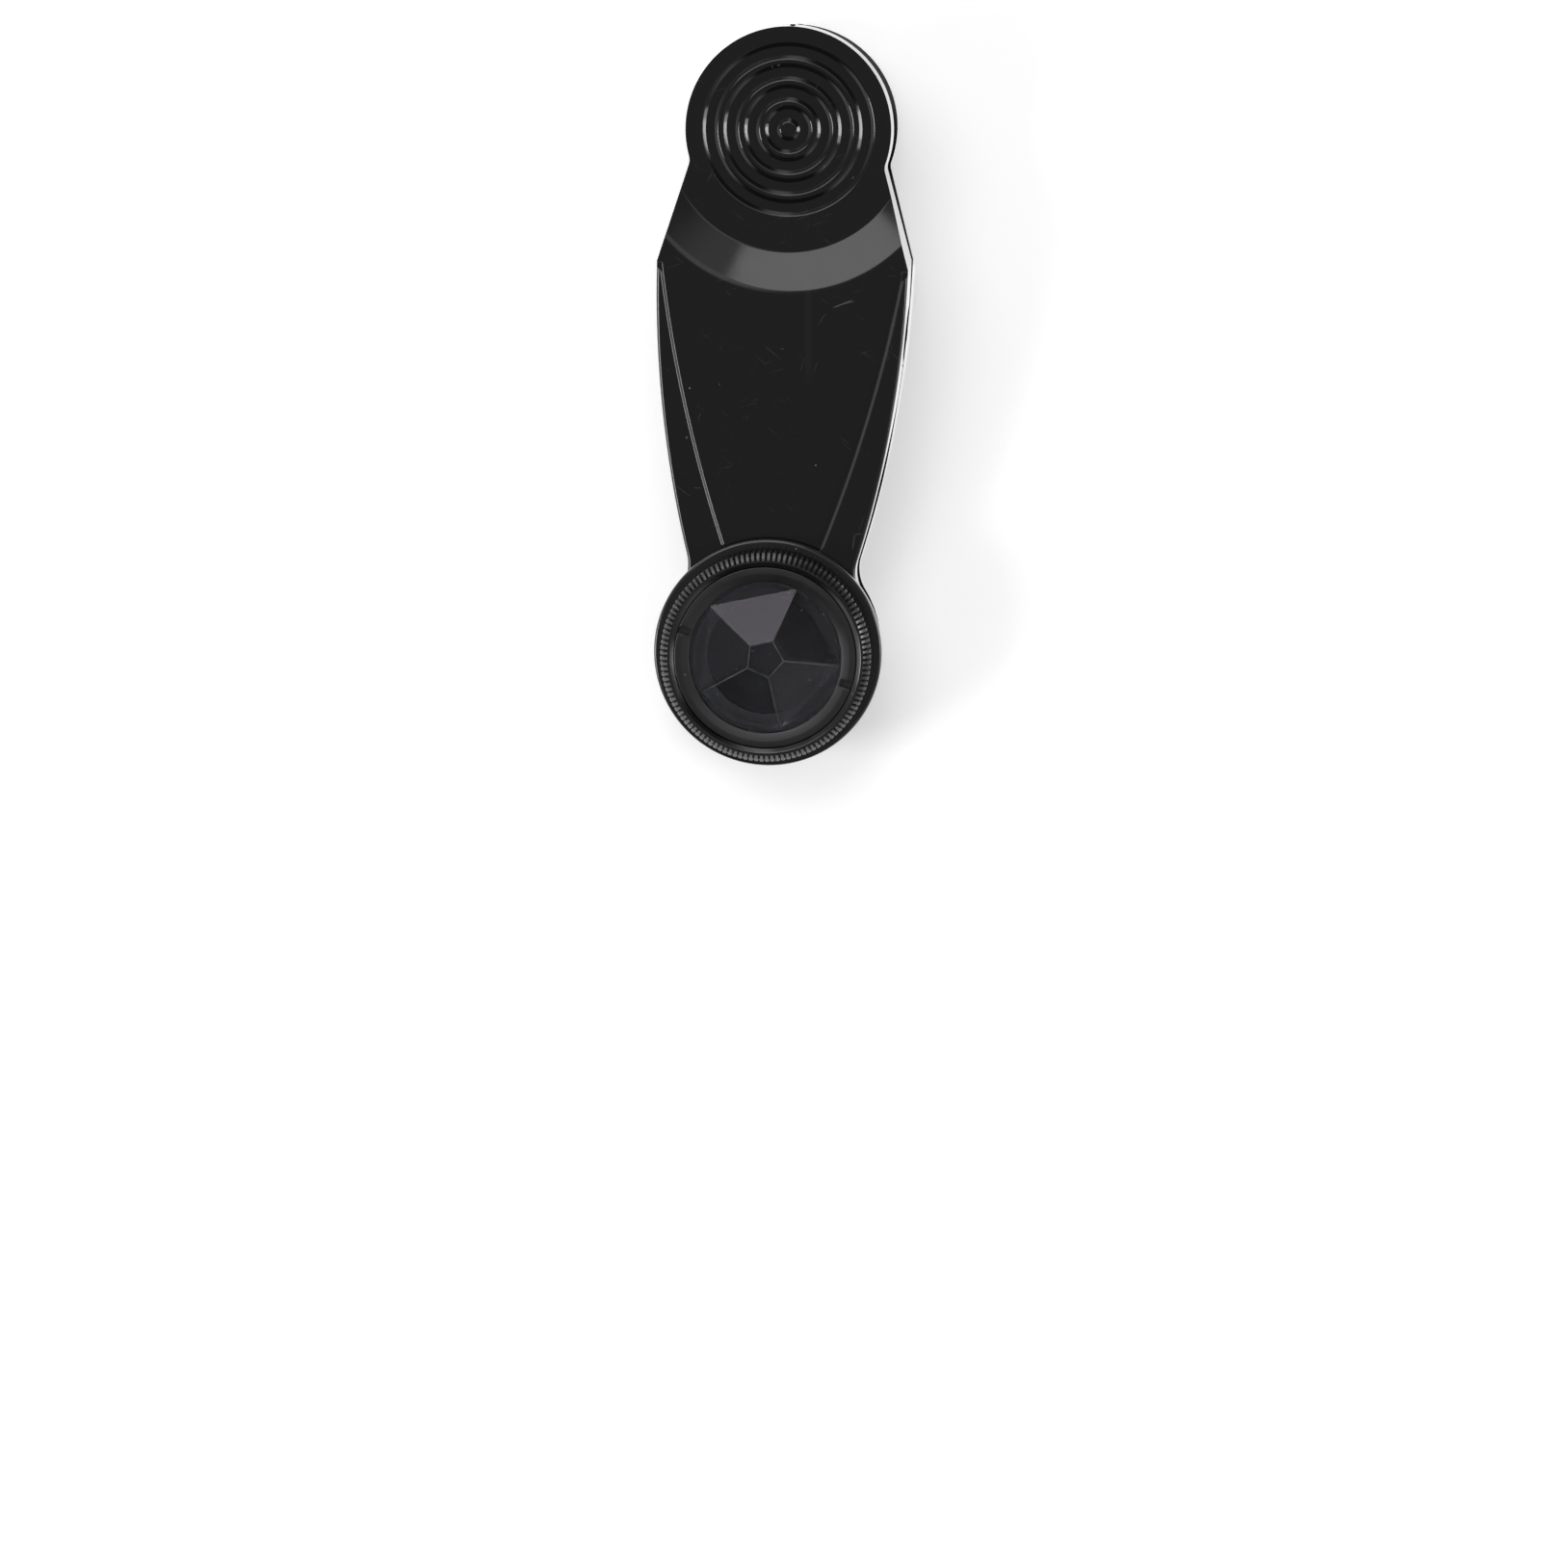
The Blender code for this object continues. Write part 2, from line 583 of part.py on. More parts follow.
def build_pin(parts, hinge):
    half = hinge_half_width() - EAR_INSET
    profile = [
        (0.0, half),
        (PIN_RADIUS - PIN_CHAMFER, half),
        (PIN_RADIUS, half - PIN_CHAMFER),
        (PIN_RADIUS, -half + PIN_CHAMFER),
        (PIN_RADIUS - PIN_CHAMFER, -half),
        (0.0, -half),
    ]
    pin = turned("hinge_pin", profile, HINGE_STEPS, parts)
    pin.rotation_euler = (0.0, math.pi / 2, 0.0)
    pin.parent = hinge
    finish_piece(pin, (0.6, 0.6, 0.62), 0.3, 1.0)


def spring_path():
    """Front leg, coil and rear leg, as points about the hinge axis."""
    leg_level = PAD_UNDERSIDE - LEG_GAP - WIRE_RADIUS
    leg = Vector((LEG_REACH, leg_level))
    lead = math.acos(COIL_RADIUS / leg.length)
    front_end = heading(leg) + REST_ANGLE
    rear_end = -heading(leg)
    start = front_end + lead
    end = rear_end - lead + 2 * math.pi * (COIL_TURNS + 1)
    half = COIL_PITCH * (end - start) / (4 * math.pi)
    points = [Vector((-half, leg.length * math.cos(front_end), leg.length * math.sin(front_end)))]
    count = round(COIL_POINTS_PER_TURN * (end - start) / (2 * math.pi))
    for i in range(count + 1):
        angle = start + (end - start) * i / count
        along = -half + 2 * half * i / count
        points.append(Vector((along, COIL_RADIUS * math.cos(angle), COIL_RADIUS * math.sin(angle))))
    points.append(Vector((half, leg.length * math.cos(rear_end), leg.length * math.sin(rear_end))))
    return points


def wire(name, points, radius, parts):
    """A round wire through the points, with closed ends, as a mesh."""
    curve = bpy.data.curves.new(name, "CURVE")
    curve.dimensions = "3D"
    curve.bevel_depth = radius
    curve.bevel_resolution = 2
    curve.use_fill_caps = True
    spline = curve.splines.new("POLY")
    spline.points.add(len(points) - 1)
    for point, place in zip(spline.points, points):
        point.co = (*place, 1.0)
    return add_object(name, curve, parts)


def build_spring(parts, hinge):
    spring = wire("torsion_spring", spring_path(), WIRE_RADIUS, parts)
    spring.parent = hinge
    give_material(spring, (0.55, 0.55, 0.57), 0.28, 1.0)


def pad_section(inner, outer, low, high, round_off):
    """Section of a rubber pad, rounded at its gripping face."""
    section = [
        (inner, high),
        (outer, high),
        (outer, low + round_off),
        (outer - round_off, low),
    ]
    if inner > 0.0:
        return section + [(inner + round_off, low), (inner, low + round_off)]
    return section + [(0.0, low)]


def build_jaw_pads(parts, hinge, lean):
    front = turned(
        "front_jaw_pad",
        pad_section(JAW_PAD_HOLE_RADIUS, JAW_PAD_RADIUS, JAW_PAD_FACE, JAW_PAD_TOP, JAW_PAD_ROUND),
        TURNED_STEPS,
        parts,
    )
    front.location = (0.0, -JAW_REACH, 0.0)
    front.parent = lean
    finish_piece(front, (0.02, 0.02, 0.02), 0.8, 0.0)
    rear = turned(
        "rear_jaw_pad",
        pad_section(0.0, JAW_PAD_RADIUS, JAW_PAD_FACE, JAW_PAD_TOP, JAW_PAD_ROUND),
        TURNED_STEPS,
        parts,
    )
    rear.location = (0.0, -JAW_REACH, 0.0)
    rear.rotation_euler = (0.0, math.pi, 0.0)
    rear.parent = hinge
    finish_piece(rear, (0.02, 0.02, 0.02), 0.8, 0.0)


def build_lens_base(parts, axis):
    groove_radius = HUB_RADIUS - 2 * RING_WIRE_RADIUS
    profile = [
        (APERTURE_RADIUS, HUB_TOP),
        (HUB_RADIUS, HUB_TOP),
        (HUB_RADIUS, RING_LEVEL + RING_GROOVE_HALF),
        (groove_radius, RING_LEVEL + RING_GROOVE_HALF),
        (groove_radius, RING_LEVEL - RING_GROOVE_HALF),
        (HUB_RADIUS, RING_LEVEL - RING_GROOVE_HALF),
        (HUB_RADIUS, FLANGE_TOP),
        (FLANGE_RADIUS - FLANGE_CHAMFER, FLANGE_TOP),
        (FLANGE_RADIUS, FLANGE_TOP - FLANGE_CHAMFER),
        (FLANGE_RADIUS, FLANGE_BOTTOM + FLANGE_CHAMFER / 2),
        (FLANGE_RADIUS - FLANGE_CHAMFER / 2, FLANGE_BOTTOM),
        (THREAD_RADIUS, FLANGE_BOTTOM),
        (THREAD_RADIUS, -JAW_PLATE),
        (APERTURE_RADIUS, -JAW_PLATE),
    ]
    base = turned("lens_base", profile, TURNED_STEPS, parts)
    base.parent = axis
    finish_piece(base, (0.012, 0.012, 0.013), 0.3, 0.6)


def build_slip_washer(parts, axis):
    profile = [
        (WASHER_INNER_RADIUS, WASHER_BOTTOM + WASHER),
        (WASHER_OUTER_RADIUS, WASHER_BOTTOM + WASHER),
        (WASHER_OUTER_RADIUS, WASHER_BOTTOM),
        (WASHER_INNER_RADIUS, WASHER_BOTTOM),
    ]
    washer = turned("slip_washer", profile, TURNED_STEPS, parts)
    washer.parent = axis
    finish_piece(washer, (0.7, 0.7, 0.68), 0.5, 0.0)


def build_snap_ring(parts, axis):
    """A split wire ring, half in the hub's groove and half in the bezel's."""
    points = []
    for i in range(RING_POINTS + 1):
        angle = RING_OPENING / 2 + (2 * math.pi - RING_OPENING) * i / RING_POINTS
        radius = HUB_RADIUS - RING_WIRE_RADIUS / 2
        points.append(Vector((radius * math.cos(angle), radius * math.sin(angle), RING_LEVEL)))
    ring = wire("bezel_snap_ring", points, RING_WIRE_RADIUS, parts)
    ring.parent = axis
    give_material(ring, (0.6, 0.6, 0.62), 0.3, 1.0)


def knurl_ring(name, collection):
    """The bezel's toothed outside: a star outline extruded, then coned off at both ends."""
    outline = []
    for i in range(2 * KNURL_TEETH):
        angle = math.pi * i / KNURL_TEETH
        radius = BEZEL_RADIUS - (KNURL_DEPTH if i % 2 else 0.0)
        outline.append((radius * math.cos(angle), radius * math.sin(angle)))
    return extruded(name, outline, BEZEL_BOTTOM, BEZEL_TOP, collection)


def build_bezel(parts, cutters, axis):
    bezel = knurl_ring("knurled_bezel", parts)
    envelope = turned(
        "bezel_envelope",
        [
            (0.0, BEZEL_TOP + OVERRUN),
            (BEZEL_RADIUS - BEZEL_TOP_CHAMFER - OVERRUN / 4, BEZEL_TOP + OVERRUN / 4),
            (BEZEL_RADIUS + OVERRUN / 4, BEZEL_TOP - BEZEL_TOP_CHAMFER - OVERRUN / 4),
            (BEZEL_RADIUS + OVERRUN / 4, BEZEL_BOTTOM + BEZEL_BOTTOM_CHAMFER + OVERRUN / 4),
            (BEZEL_RADIUS - BEZEL_BOTTOM_CHAMFER - OVERRUN / 4, BEZEL_BOTTOM - OVERRUN / 4),
            (0.0, BEZEL_BOTTOM - OVERRUN),
        ],
        TURNED_STEPS,
        cutters,
    )
    cut(bezel, envelope, "INTERSECT")
    groove_radius = SLEEVE_RADIUS + RING_WIRE_RADIUS
    bore = turned(
        "bezel_bore_cut",
        [
            (0.0, BEZEL_TOP + OVERRUN),
            (BEZEL_BORE_RADIUS + 2 * BEZEL_MOUTH_BEVEL, BEZEL_TOP + OVERRUN),
            (BEZEL_BORE_RADIUS + 2 * BEZEL_MOUTH_BEVEL, RETAINER_TOP + 2 * BEZEL_MOUTH_DEPTH),
            (BEZEL_BORE_RADIUS, RETAINER_TOP),
            (BEZEL_BORE_RADIUS, LEDGE_TOP),
            (LEDGE_RADIUS, LEDGE_TOP),
            (LEDGE_RADIUS, LEDGE_BOTTOM),
            (SLEEVE_RADIUS, LEDGE_BOTTOM),
            (SLEEVE_RADIUS, RING_LEVEL + RING_GROOVE_HALF),
            (groove_radius, RING_LEVEL + RING_GROOVE_HALF),
            (groove_radius, RING_LEVEL - RING_GROOVE_HALF),
            (SLEEVE_RADIUS, RING_LEVEL - RING_GROOVE_HALF),
            (SLEEVE_RADIUS, BEZEL_BOTTOM - OVERRUN),
            (0.0, BEZEL_BOTTOM - OVERRUN),
        ],
        TURNED_STEPS,
        cutters,
    )
    cut(bezel, bore)
    bezel.parent = axis
    finish_piece(bezel, (0.012, 0.012, 0.013), 0.3, 0.6)


def build_gasket(parts, axis):
    outer = GLASS_RADIUS
    profile = [
        (GASKET_INNER_RADIUS, GASKET_BOTTOM + GASKET),
        (outer, GASKET_BOTTOM + GASKET),
        (outer, GASKET_BOTTOM),
        (GASKET_INNER_RADIUS, GASKET_BOTTOM),
    ]
    gasket = turned("glass_gasket", profile, TURNED_STEPS, parts)
    gasket.parent = axis
    finish_piece(gasket, (0.02, 0.02, 0.02), 0.8, 0.0)


def build_glass(parts, cutters, axis):
    """A round glass with a five-sided frustum on its face."""
    rim = [
        (0.0, GLASS_RIM_TOP),
        (GLASS_RADIUS, GLASS_RIM_TOP),
        (GLASS_RADIUS, GLASS_BOTTOM),
        (0.0, GLASS_BOTTOM),
    ]
    glass = turned("prism_glass", rim, TURNED_STEPS, parts)
    sink = GLASS_RIM / 2
    slope = (PRISM_BASE_RADIUS - PRISM_TOP_RADIUS) / PRISM_RISE
    bm = bmesh.new()
    bmesh.ops.create_cone(
        bm,
        cap_ends=True,
        segments=PRISM_SIDES,
        radius1=PRISM_BASE_RADIUS + slope * sink,
        radius2=PRISM_TOP_RADIUS,
        depth=PRISM_RISE + sink,
    )
    bmesh.ops.rotate(bm, verts=bm.verts, matrix=Matrix.Rotation(PRISM_TURN, 3, "Z"))
    middle = GLASS_RIM_TOP + (PRISM_RISE - sink) / 2
    bmesh.ops.translate(bm, verts=bm.verts, vec=(0.0, 0.0, middle))
    facets = add_mesh("prism_facets", bm, cutters)
    above = turned(
        "prism_round",
        [
            (0.0, GLASS_RIM_TOP + PRISM_RISE + OVERRUN),
            (PRISM_BASE_RADIUS, GLASS_RIM_TOP + PRISM_RISE + OVERRUN),
            (PRISM_BASE_RADIUS, GLASS_RIM_TOP - sink / 2),
            (0.0, GLASS_RIM_TOP - sink / 2),
        ],
        TURNED_STEPS,
        cutters,
    )
    cut(facets, above, "INTERSECT")
    cut(glass, facets, "UNION")
    glass.parent = axis
    finish_piece(glass, (0.9, 0.92, 0.95), 0.02, 0.0, 0.35)


def build_retainer(parts, cutters, axis):
    profile = [
        (RETAINER_INNER_RADIUS + RETAINER_BEVEL, RETAINER_TOP),
        (RETAINER_OUTER_RADIUS, RETAINER_TOP),
        (RETAINER_OUTER_RADIUS, RETAINER_BOTTOM),
        (RETAINER_INNER_RADIUS, RETAINER_BOTTOM),
        (RETAINER_INNER_RADIUS, RETAINER_TOP - RETAINER_BEVEL_DROP),
    ]
    ring = turned("retaining_ring", profile, TURNED_STEPS, parts)
    ring.parent = axis
    for name, turn in (("right", NOTCH_TURN), ("left", NOTCH_TURN + math.pi)):
        notch = box(
            "spanner_notch_" + name,
            (RETAINER_OUTER_RADIUS - NOTCH_LENGTH, -NOTCH_WIDTH / 2, RETAINER_TOP - RETAINER / 2),
            (RETAINER_OUTER_RADIUS + OVERRUN, NOTCH_WIDTH / 2, RETAINER_TOP + OVERRUN),
            cutters,
        )
        notch.rotation_euler = (0.0, 0.0, turn)
        cut(ring, notch)
    finish_piece(ring, (0.03, 0.03, 0.032), 0.45, 0.5)


def build():
    clear_scene()
    parts = make_collection("clip_on_phone_lens")
    cutters = make_collection("cutters")
    hinge = add_object("hinge_axis", None, parts)
    hinge.location = (0.0, HINGE_Y, HINGE_Z)
    lean = add_object("front_lean", None, parts)
    lean.rotation_euler = (REST_ANGLE, 0.0, 0.0)
    lean.parent = hinge
    axis = add_object("lens_axis", None, parts)
    axis.location = (0.0, -JAW_REACH, BODY_RISE)
    axis.parent = lean

    build_rear_arm(parts, cutters, hinge)
    build_front_arm(parts, cutters, lean)
    build_pin(parts, hinge)
    build_spring(parts, hinge)
    build_jaw_pads(parts, hinge, lean)
    build_lens_base(parts, axis)
    build_slip_washer(parts, axis)
    build_snap_ring(parts, axis)
    build_bezel(parts, cutters, axis)
    build_gasket(parts, axis)
    build_glass(parts, cutters, axis)
    build_retainer(parts, cutters, axis)


build()
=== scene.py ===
"""Looks of a clip-on phone lens: two sprung plastic arms, and a turning faceted lens in the front jaw."""

import json
import math

import bpy
from mathutils import Matrix, Vector


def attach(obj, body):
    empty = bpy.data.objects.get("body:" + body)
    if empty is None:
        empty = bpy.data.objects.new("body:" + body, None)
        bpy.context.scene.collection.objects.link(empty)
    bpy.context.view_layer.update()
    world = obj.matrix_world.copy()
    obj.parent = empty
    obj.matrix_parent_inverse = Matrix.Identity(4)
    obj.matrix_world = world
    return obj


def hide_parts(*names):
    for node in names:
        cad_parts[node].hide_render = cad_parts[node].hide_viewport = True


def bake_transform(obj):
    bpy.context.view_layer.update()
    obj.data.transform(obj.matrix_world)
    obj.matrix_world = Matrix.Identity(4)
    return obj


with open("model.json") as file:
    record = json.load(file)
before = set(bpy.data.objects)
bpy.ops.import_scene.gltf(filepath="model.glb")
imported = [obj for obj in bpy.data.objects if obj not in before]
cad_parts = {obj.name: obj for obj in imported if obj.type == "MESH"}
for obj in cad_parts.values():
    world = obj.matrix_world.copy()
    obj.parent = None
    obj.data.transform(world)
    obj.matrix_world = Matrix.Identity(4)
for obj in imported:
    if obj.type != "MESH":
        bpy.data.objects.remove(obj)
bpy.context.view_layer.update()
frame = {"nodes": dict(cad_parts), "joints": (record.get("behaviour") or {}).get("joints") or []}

# Arms.
# Both halves of the clip are the same injection moulding in black gloss plastic, with a grooved thumb
# pad, a scoop behind it, a creased panel and a round jaw. The walls lean in by the mould's draft.
MM = 0.001
joints = {joint["name"]: joint for joint in frame["joints"]}
HINGE = Vector(joints["clip_open"]["pos_m"])
LENS_SEAT = Vector(joints["bezel_turn"]["pos_m"])
LENS_AXIS = Vector(joints["bezel_turn"]["axis"])
LEAN = math.atan2(-LENS_AXIS.y, LENS_AXIS.z)
FRONT_PLACE = Matrix.Translation(HINGE) @ Matrix.Rotation(LEAN, 4, "X")
REAR_PLACE = Matrix.Translation(HINGE) @ Matrix.Rotation(math.pi, 4, "Y")
LENS_PLACE = Matrix.Translation(LENS_SEAT) @ Matrix.Rotation(LEAN, 4, "X")

THUMB_REACH = 22.72 * MM
JAW_REACH = 35.0 * MM
THUMB_RADIUS = 11.44 * MM
JAW_RADIUS = 12.2 * MM
SHOULDER_HALF_WIDTH = 13.9 * MM
SHOULDER_FROM_THUMB = 14.4 * MM
NECK_FROM_THUMB = 3.82 * MM
SIDE_RADIUS = 125.0 * MM
THUMB_NECK_FILLET = 1.6 * MM
JAW_NECK_FILLET = 4.5 * MM
DRAFT = math.radians(2.5)
SIDE_DRAFT = math.radians(0.3)

BODY_RISE = 6.8 * MM
PLATE = 2.0 * MM
SKIRT_WALL = 1.7 * MM
THUMB_DROP = 1.9 * MM
JAW_PLATE = 2.2 * MM
JAW_PLATE_INSET = 0.15 * MM
EDGE_ROUND = 0.4 * MM
RIM_AT_HINGE = 0.4 * MM
RIM_AT_THROAT = 1.0 * MM
RIM_AT_JAW = 3.9 * MM
RIM_AT_THUMB = 2.8 * MM
THROAT_REACH = 7.0 * MM
JAW_RIM_REACH = 16.0 * MM
RIM_ROUND = 3.0 * MM
OVERRUN = 3.0 * MM
SKIM = 0.005 * MM
MERGE = 0.002 * MM

PAD_LEVEL = BODY_RISE - THUMB_DROP
PLATE_UNDERSIDE = BODY_RISE - PLATE
PAD_UNDERSIDE = PAD_LEVEL - PLATE
JAW_UNDERSIDE = BODY_RISE - JAW_PLATE


def pick_only(piece):
    """Selects one piece and nothing else, and makes it the active one."""
    bpy.ops.object.select_all(action="DESELECT")
    piece.select_set(True)
    bpy.context.view_layer.objects.active = piece


def apply_step(piece, kind, **settings):
    """Adds one modifier, sets it and applies it."""
    pick_only(piece)
    step = piece.modifiers.new(kind, kind)
    for name, value in settings.items():
        setattr(step, name, value)
    bpy.ops.object.modifier_apply(modifier=step.name)


def carve(piece, tool, operation="DIFFERENCE"):
    """Cuts or joins a piece with a tool, which is then thrown away."""
    apply_step(piece, "BOOLEAN", operation=operation, solver="EXACT", object=tool)
    bpy.data.objects.remove(tool, do_unlink=True)


def pick_edges(piece, wanted):
    """Opens a piece in edit mode with those edges selected whose two ends pass a test."""
    pick_only(piece)
    bpy.ops.object.mode_set(mode="EDIT")
    bpy.ops.mesh.select_mode(type="EDGE")
    bpy.ops.mesh.select_all(action="DESELECT")
    bpy.ops.object.mode_set(mode="OBJECT")
    for edge in piece.data.edges:
        edge.select = wanted([piece.data.vertices[index].co for index in edge.vertices])
    bpy.ops.object.mode_set(mode="EDIT")


def turn_faces_out(piece):
    pick_only(piece)
    bpy.ops.object.mode_set(mode="EDIT")
    bpy.ops.mesh.select_all(action="SELECT")
    bpy.ops.mesh.normals_make_consistent(inside=False)
    bpy.ops.object.mode_set(mode="OBJECT")


def smooth(piece, angle=math.radians(30)):
    """Smooth shading over gentle bends, with flat faces kept flat right up to their rounded edges."""
    pick_only(piece)
    bpy.ops.object.shade_smooth_by_angle(angle=angle)
    apply_step(piece, "WEIGHTED_NORMAL", keep_sharp=True, weight=50)


def stack(name, levels):
    """A closed solid through flat outlines, each given as (height, points) with as many points."""
    height, outline = levels[0]
    bpy.ops.mesh.primitive_circle_add(vertices=len(outline), radius=1.0, fill_type="NGON")
    piece = bpy.context.object
    piece.name = name
    for vert, (x, y) in zip(piece.data.vertices, outline):
        vert.co = (x, y, height)
    for height, outline in levels[1:]:
        bpy.ops.object.mode_set(mode="EDIT")
        bpy.ops.mesh.extrude_region_move(TRANSFORM_OT_translate={"value": (0.0, 0.0, MM)})
        bpy.ops.object.mode_set(mode="OBJECT")
        lifted = [vert for vert in piece.data.vertices if vert.select]
        for vert, (x, y) in zip(lifted, outline):
            vert.co = (x, y, height)
    turn_faces_out(piece)
    return piece


def rounded(corners, steps=4):
    """A closed section's points: each corner is (across, up, radius), and a radius makes it an arc."""
    points = []
    for i, (across, up, radius) in enumerate(corners):
        corner = Vector((across, up))
        if radius == 0.0:
            points.append(corner)
            continue
        before = (Vector(corners[i - 1][:2]) - corner).normalized()
        after = (Vector(corners[(i + 1) % len(corners)][:2]) - corner).normalized()
        half = before.angle(after) / 2
        centre = corner + (before + after).normalized() * radius / math.sin(half)
        start = corner + before * radius / math.tan(half) - centre
        end = corner + after * radius / math.tan(half) - centre
        sweep = math.copysign(math.pi - 2 * half, start.cross(end))
        for k in range(steps + 1):
            points.append(centre + Matrix.Rotation(sweep * k / steps, 2) @ start)
    return points


def lathe(name, section, steps=160):
    """A solid turned about Z from a closed section of (radius, height) points."""
    bpy.ops.mesh.primitive_circle_add(vertices=len(section), radius=1.0, fill_type="NOTHING")
    piece = bpy.context.object
    piece.name = name
    for vert, (radius, height) in zip(piece.data.vertices, section):
        vert.co = (radius, 0.0, height)
    pick_edges(piece, lambda ends: max(end.x for end in ends) == 0.0)
    bpy.ops.mesh.delete(type="EDGE")
    bpy.ops.mesh.select_mode(type="VERT")
    bpy.ops.mesh.select_all(action="SELECT")
    bpy.ops.mesh.spin(steps=steps, angle=2 * math.pi, center=(0.0, 0.0, 0.0), axis=(0.0, 0.0, 1.0))
    bpy.ops.mesh.select_all(action="SELECT")
    bpy.ops.mesh.remove_doubles(threshold=MERGE)
    bpy.ops.mesh.normals_make_consistent(inside=False)
    bpy.ops.object.mode_set(mode="OBJECT")
    return piece


def block(name, low, high):
    """A plain box between two corners."""
    size = Vector(high) - Vector(low)
    bpy.ops.mesh.primitive_cube_add(size=1.0, location=(Vector(low) + Vector(high)) / 2, scale=size)
    bpy.context.object.name = name
    bpy.ops.object.transform_apply(location=True, rotation=True, scale=True)
    return bpy.context.object


def cross_bar(name, radius, start, end):
    """A round bar along X on the hinge axis."""
    bpy.ops.mesh.primitive_cylinder_add(
        vertices=64,
        radius=radius,
        depth=end - start,
        location=((start + end) / 2, 0.0, 0.0),
        rotation=(0.0, math.pi / 2, 0.0),
    )
    bpy.context.object.name = name
    bpy.ops.object.transform_apply(location=True, rotation=True, scale=True)
    return bpy.context.object


def arc(centre, radius, start, end, steps):
    points = []
    for i in range(steps + 1):
        angle = start + (end - start) * i / steps
        points.append(centre + radius * Vector((math.cos(angle), math.sin(angle))))
    return points


def heading(vector):
    return math.atan2(vector.y, vector.x)


def circles_meet(first, first_radius, second, second_radius):
    """The right-hand point where two circles cross."""
    across = second - first
    along = (first_radius ** 2 - second_radius ** 2 + across.length_squared) / (2 * across.length)
    off = math.sqrt(first_radius ** 2 - along ** 2)
    foot = first + along * across.normalized()
    side = off * Vector((-across.y, across.x)).normalized()
    return max(foot + side, foot - side, key=lambda point: point.x)


def line_meets_circle(start, direction, centre, radius):
    """Where a line crosses a circle, at the crossing nearest to its start."""
    offset = start - centre
    half = offset.dot(direction)
    root = math.sqrt(half ** 2 - offset.length_squared + radius ** 2)
    return start + min(root - half, -root - half, key=abs) * direction


def mirrored(half):
    """A whole outline from its right half, whose first and last points lie on the middle line."""
    return half + [Vector((-point.x, point.y)) for point in reversed(half[1:-1])]


def arm_outline(inset, side_inset):
    """The arm's plan, drawn inset all round, and by another amount along the two long sides."""
    thumb = Vector((0.0, THUMB_REACH))
    jaw = Vector((0.0, -JAW_REACH))
    shoulder = Vector((SHOULDER_HALF_WIDTH, THUMB_REACH - SHOULDER_FROM_THUMB))
    side_centre = shoulder - Vector((SIDE_RADIUS, 0.0))
    side_radius = SIDE_RADIUS - side_inset
    neck_fillet = THUMB_NECK_FILLET + inset
    jaw_fillet = JAW_NECK_FILLET + inset
    neck_reach = THUMB_RADIUS + THUMB_NECK_FILLET
    neck = thumb + Vector((math.sqrt(neck_reach ** 2 - NECK_FROM_THUMB ** 2), -NECK_FROM_THUMB))
    to_neck = neck - shoulder
    run = Matrix.Rotation(math.asin(THUMB_NECK_FILLET / to_neck.length), 2) @ to_neck.normalized()
    out = Vector((run.y, -run.x))
    corner = line_meets_circle(shoulder - inset * out, run, side_centre, side_radius)
    throat = circles_meet(side_centre, side_radius + jaw_fillet, jaw, JAW_RADIUS + JAW_NECK_FILLET)
    turn = 2 * math.pi
    half = arc(thumb, THUMB_RADIUS - inset, turn / 4, heading(neck - thumb), 48)
    half += arc(neck, neck_fillet, heading(thumb - neck) % turn, heading(-out) % turn, 10)[1:]
    half.append(corner)
    half += arc(
        side_centre, side_radius, heading(corner - side_centre), heading(throat - side_centre), 24
    )[1:]
    half += arc(throat, jaw_fillet, heading(side_centre - throat), heading(jaw - throat) + turn, 12)[1:]
    half += arc(jaw, JAW_RADIUS - inset, heading(throat - jaw), -turn / 4, 60)[1:]
    return mirrored(half)


# The panel is a shallow recess. Its sides are soft steps, which catch the light along each crease.
PANEL_RECESS = 0.4 * MM
STEP_ROUND = 0.35 * MM
STEP_SLOPE = math.radians(45)
CREASE_FROM_SIDE = 0.42 * MM
CREASE_FROM_SHOULDER = 0.6 * MM
CREASE_END_HALF_WIDTH = 5.35 * MM
CREASE_END_FROM_THUMB = 45.4 * MM
CREASE_RADIUS = 164.0 * MM
JAW_SEAT_RADIUS = 10.6 * MM


def panel_outline(spread):
    """The recess at one height of its soft step: all of the thumb end, then the panel to the jaw."""
    jaw = Vector((0.0, -JAW_REACH))
    top_y = THUMB_REACH - SHOULDER_FROM_THUMB - CREASE_FROM_SHOULDER
    top = Vector((SHOULDER_HALF_WIDTH - CREASE_FROM_SIDE - PANEL_RECESS, top_y))
    chord = Vector((CREASE_END_HALF_WIDTH, THUMB_REACH - CREASE_END_FROM_THUMB)) - top
    rise = math.sqrt(CREASE_RADIUS ** 2 - (chord.length / 2) ** 2)
    centre = top + chord / 2 + rise * Vector((chord.y, -chord.x)).normalized()
    radius = CREASE_RADIUS + spread
    last = circles_meet(centre, radius, jaw, JAW_SEAT_RADIUS - spread)
    beyond = THUMB_REACH + THUMB_RADIUS + OVERRUN
    wide = SHOULDER_HALF_WIDTH + OVERRUN
    corner = Vector((wide, top_y + PANEL_RECESS - spread))
    half = [Vector((0.0, beyond)), Vector((wide, beyond)), corner]
    half += arc(centre, radius, heading(top - centre), heading(last - centre), 30)
    half += arc(jaw, JAW_SEAT_RADIUS - spread, heading(last - jaw), math.pi / 2, 16)[1:]
    return mirrored(half)


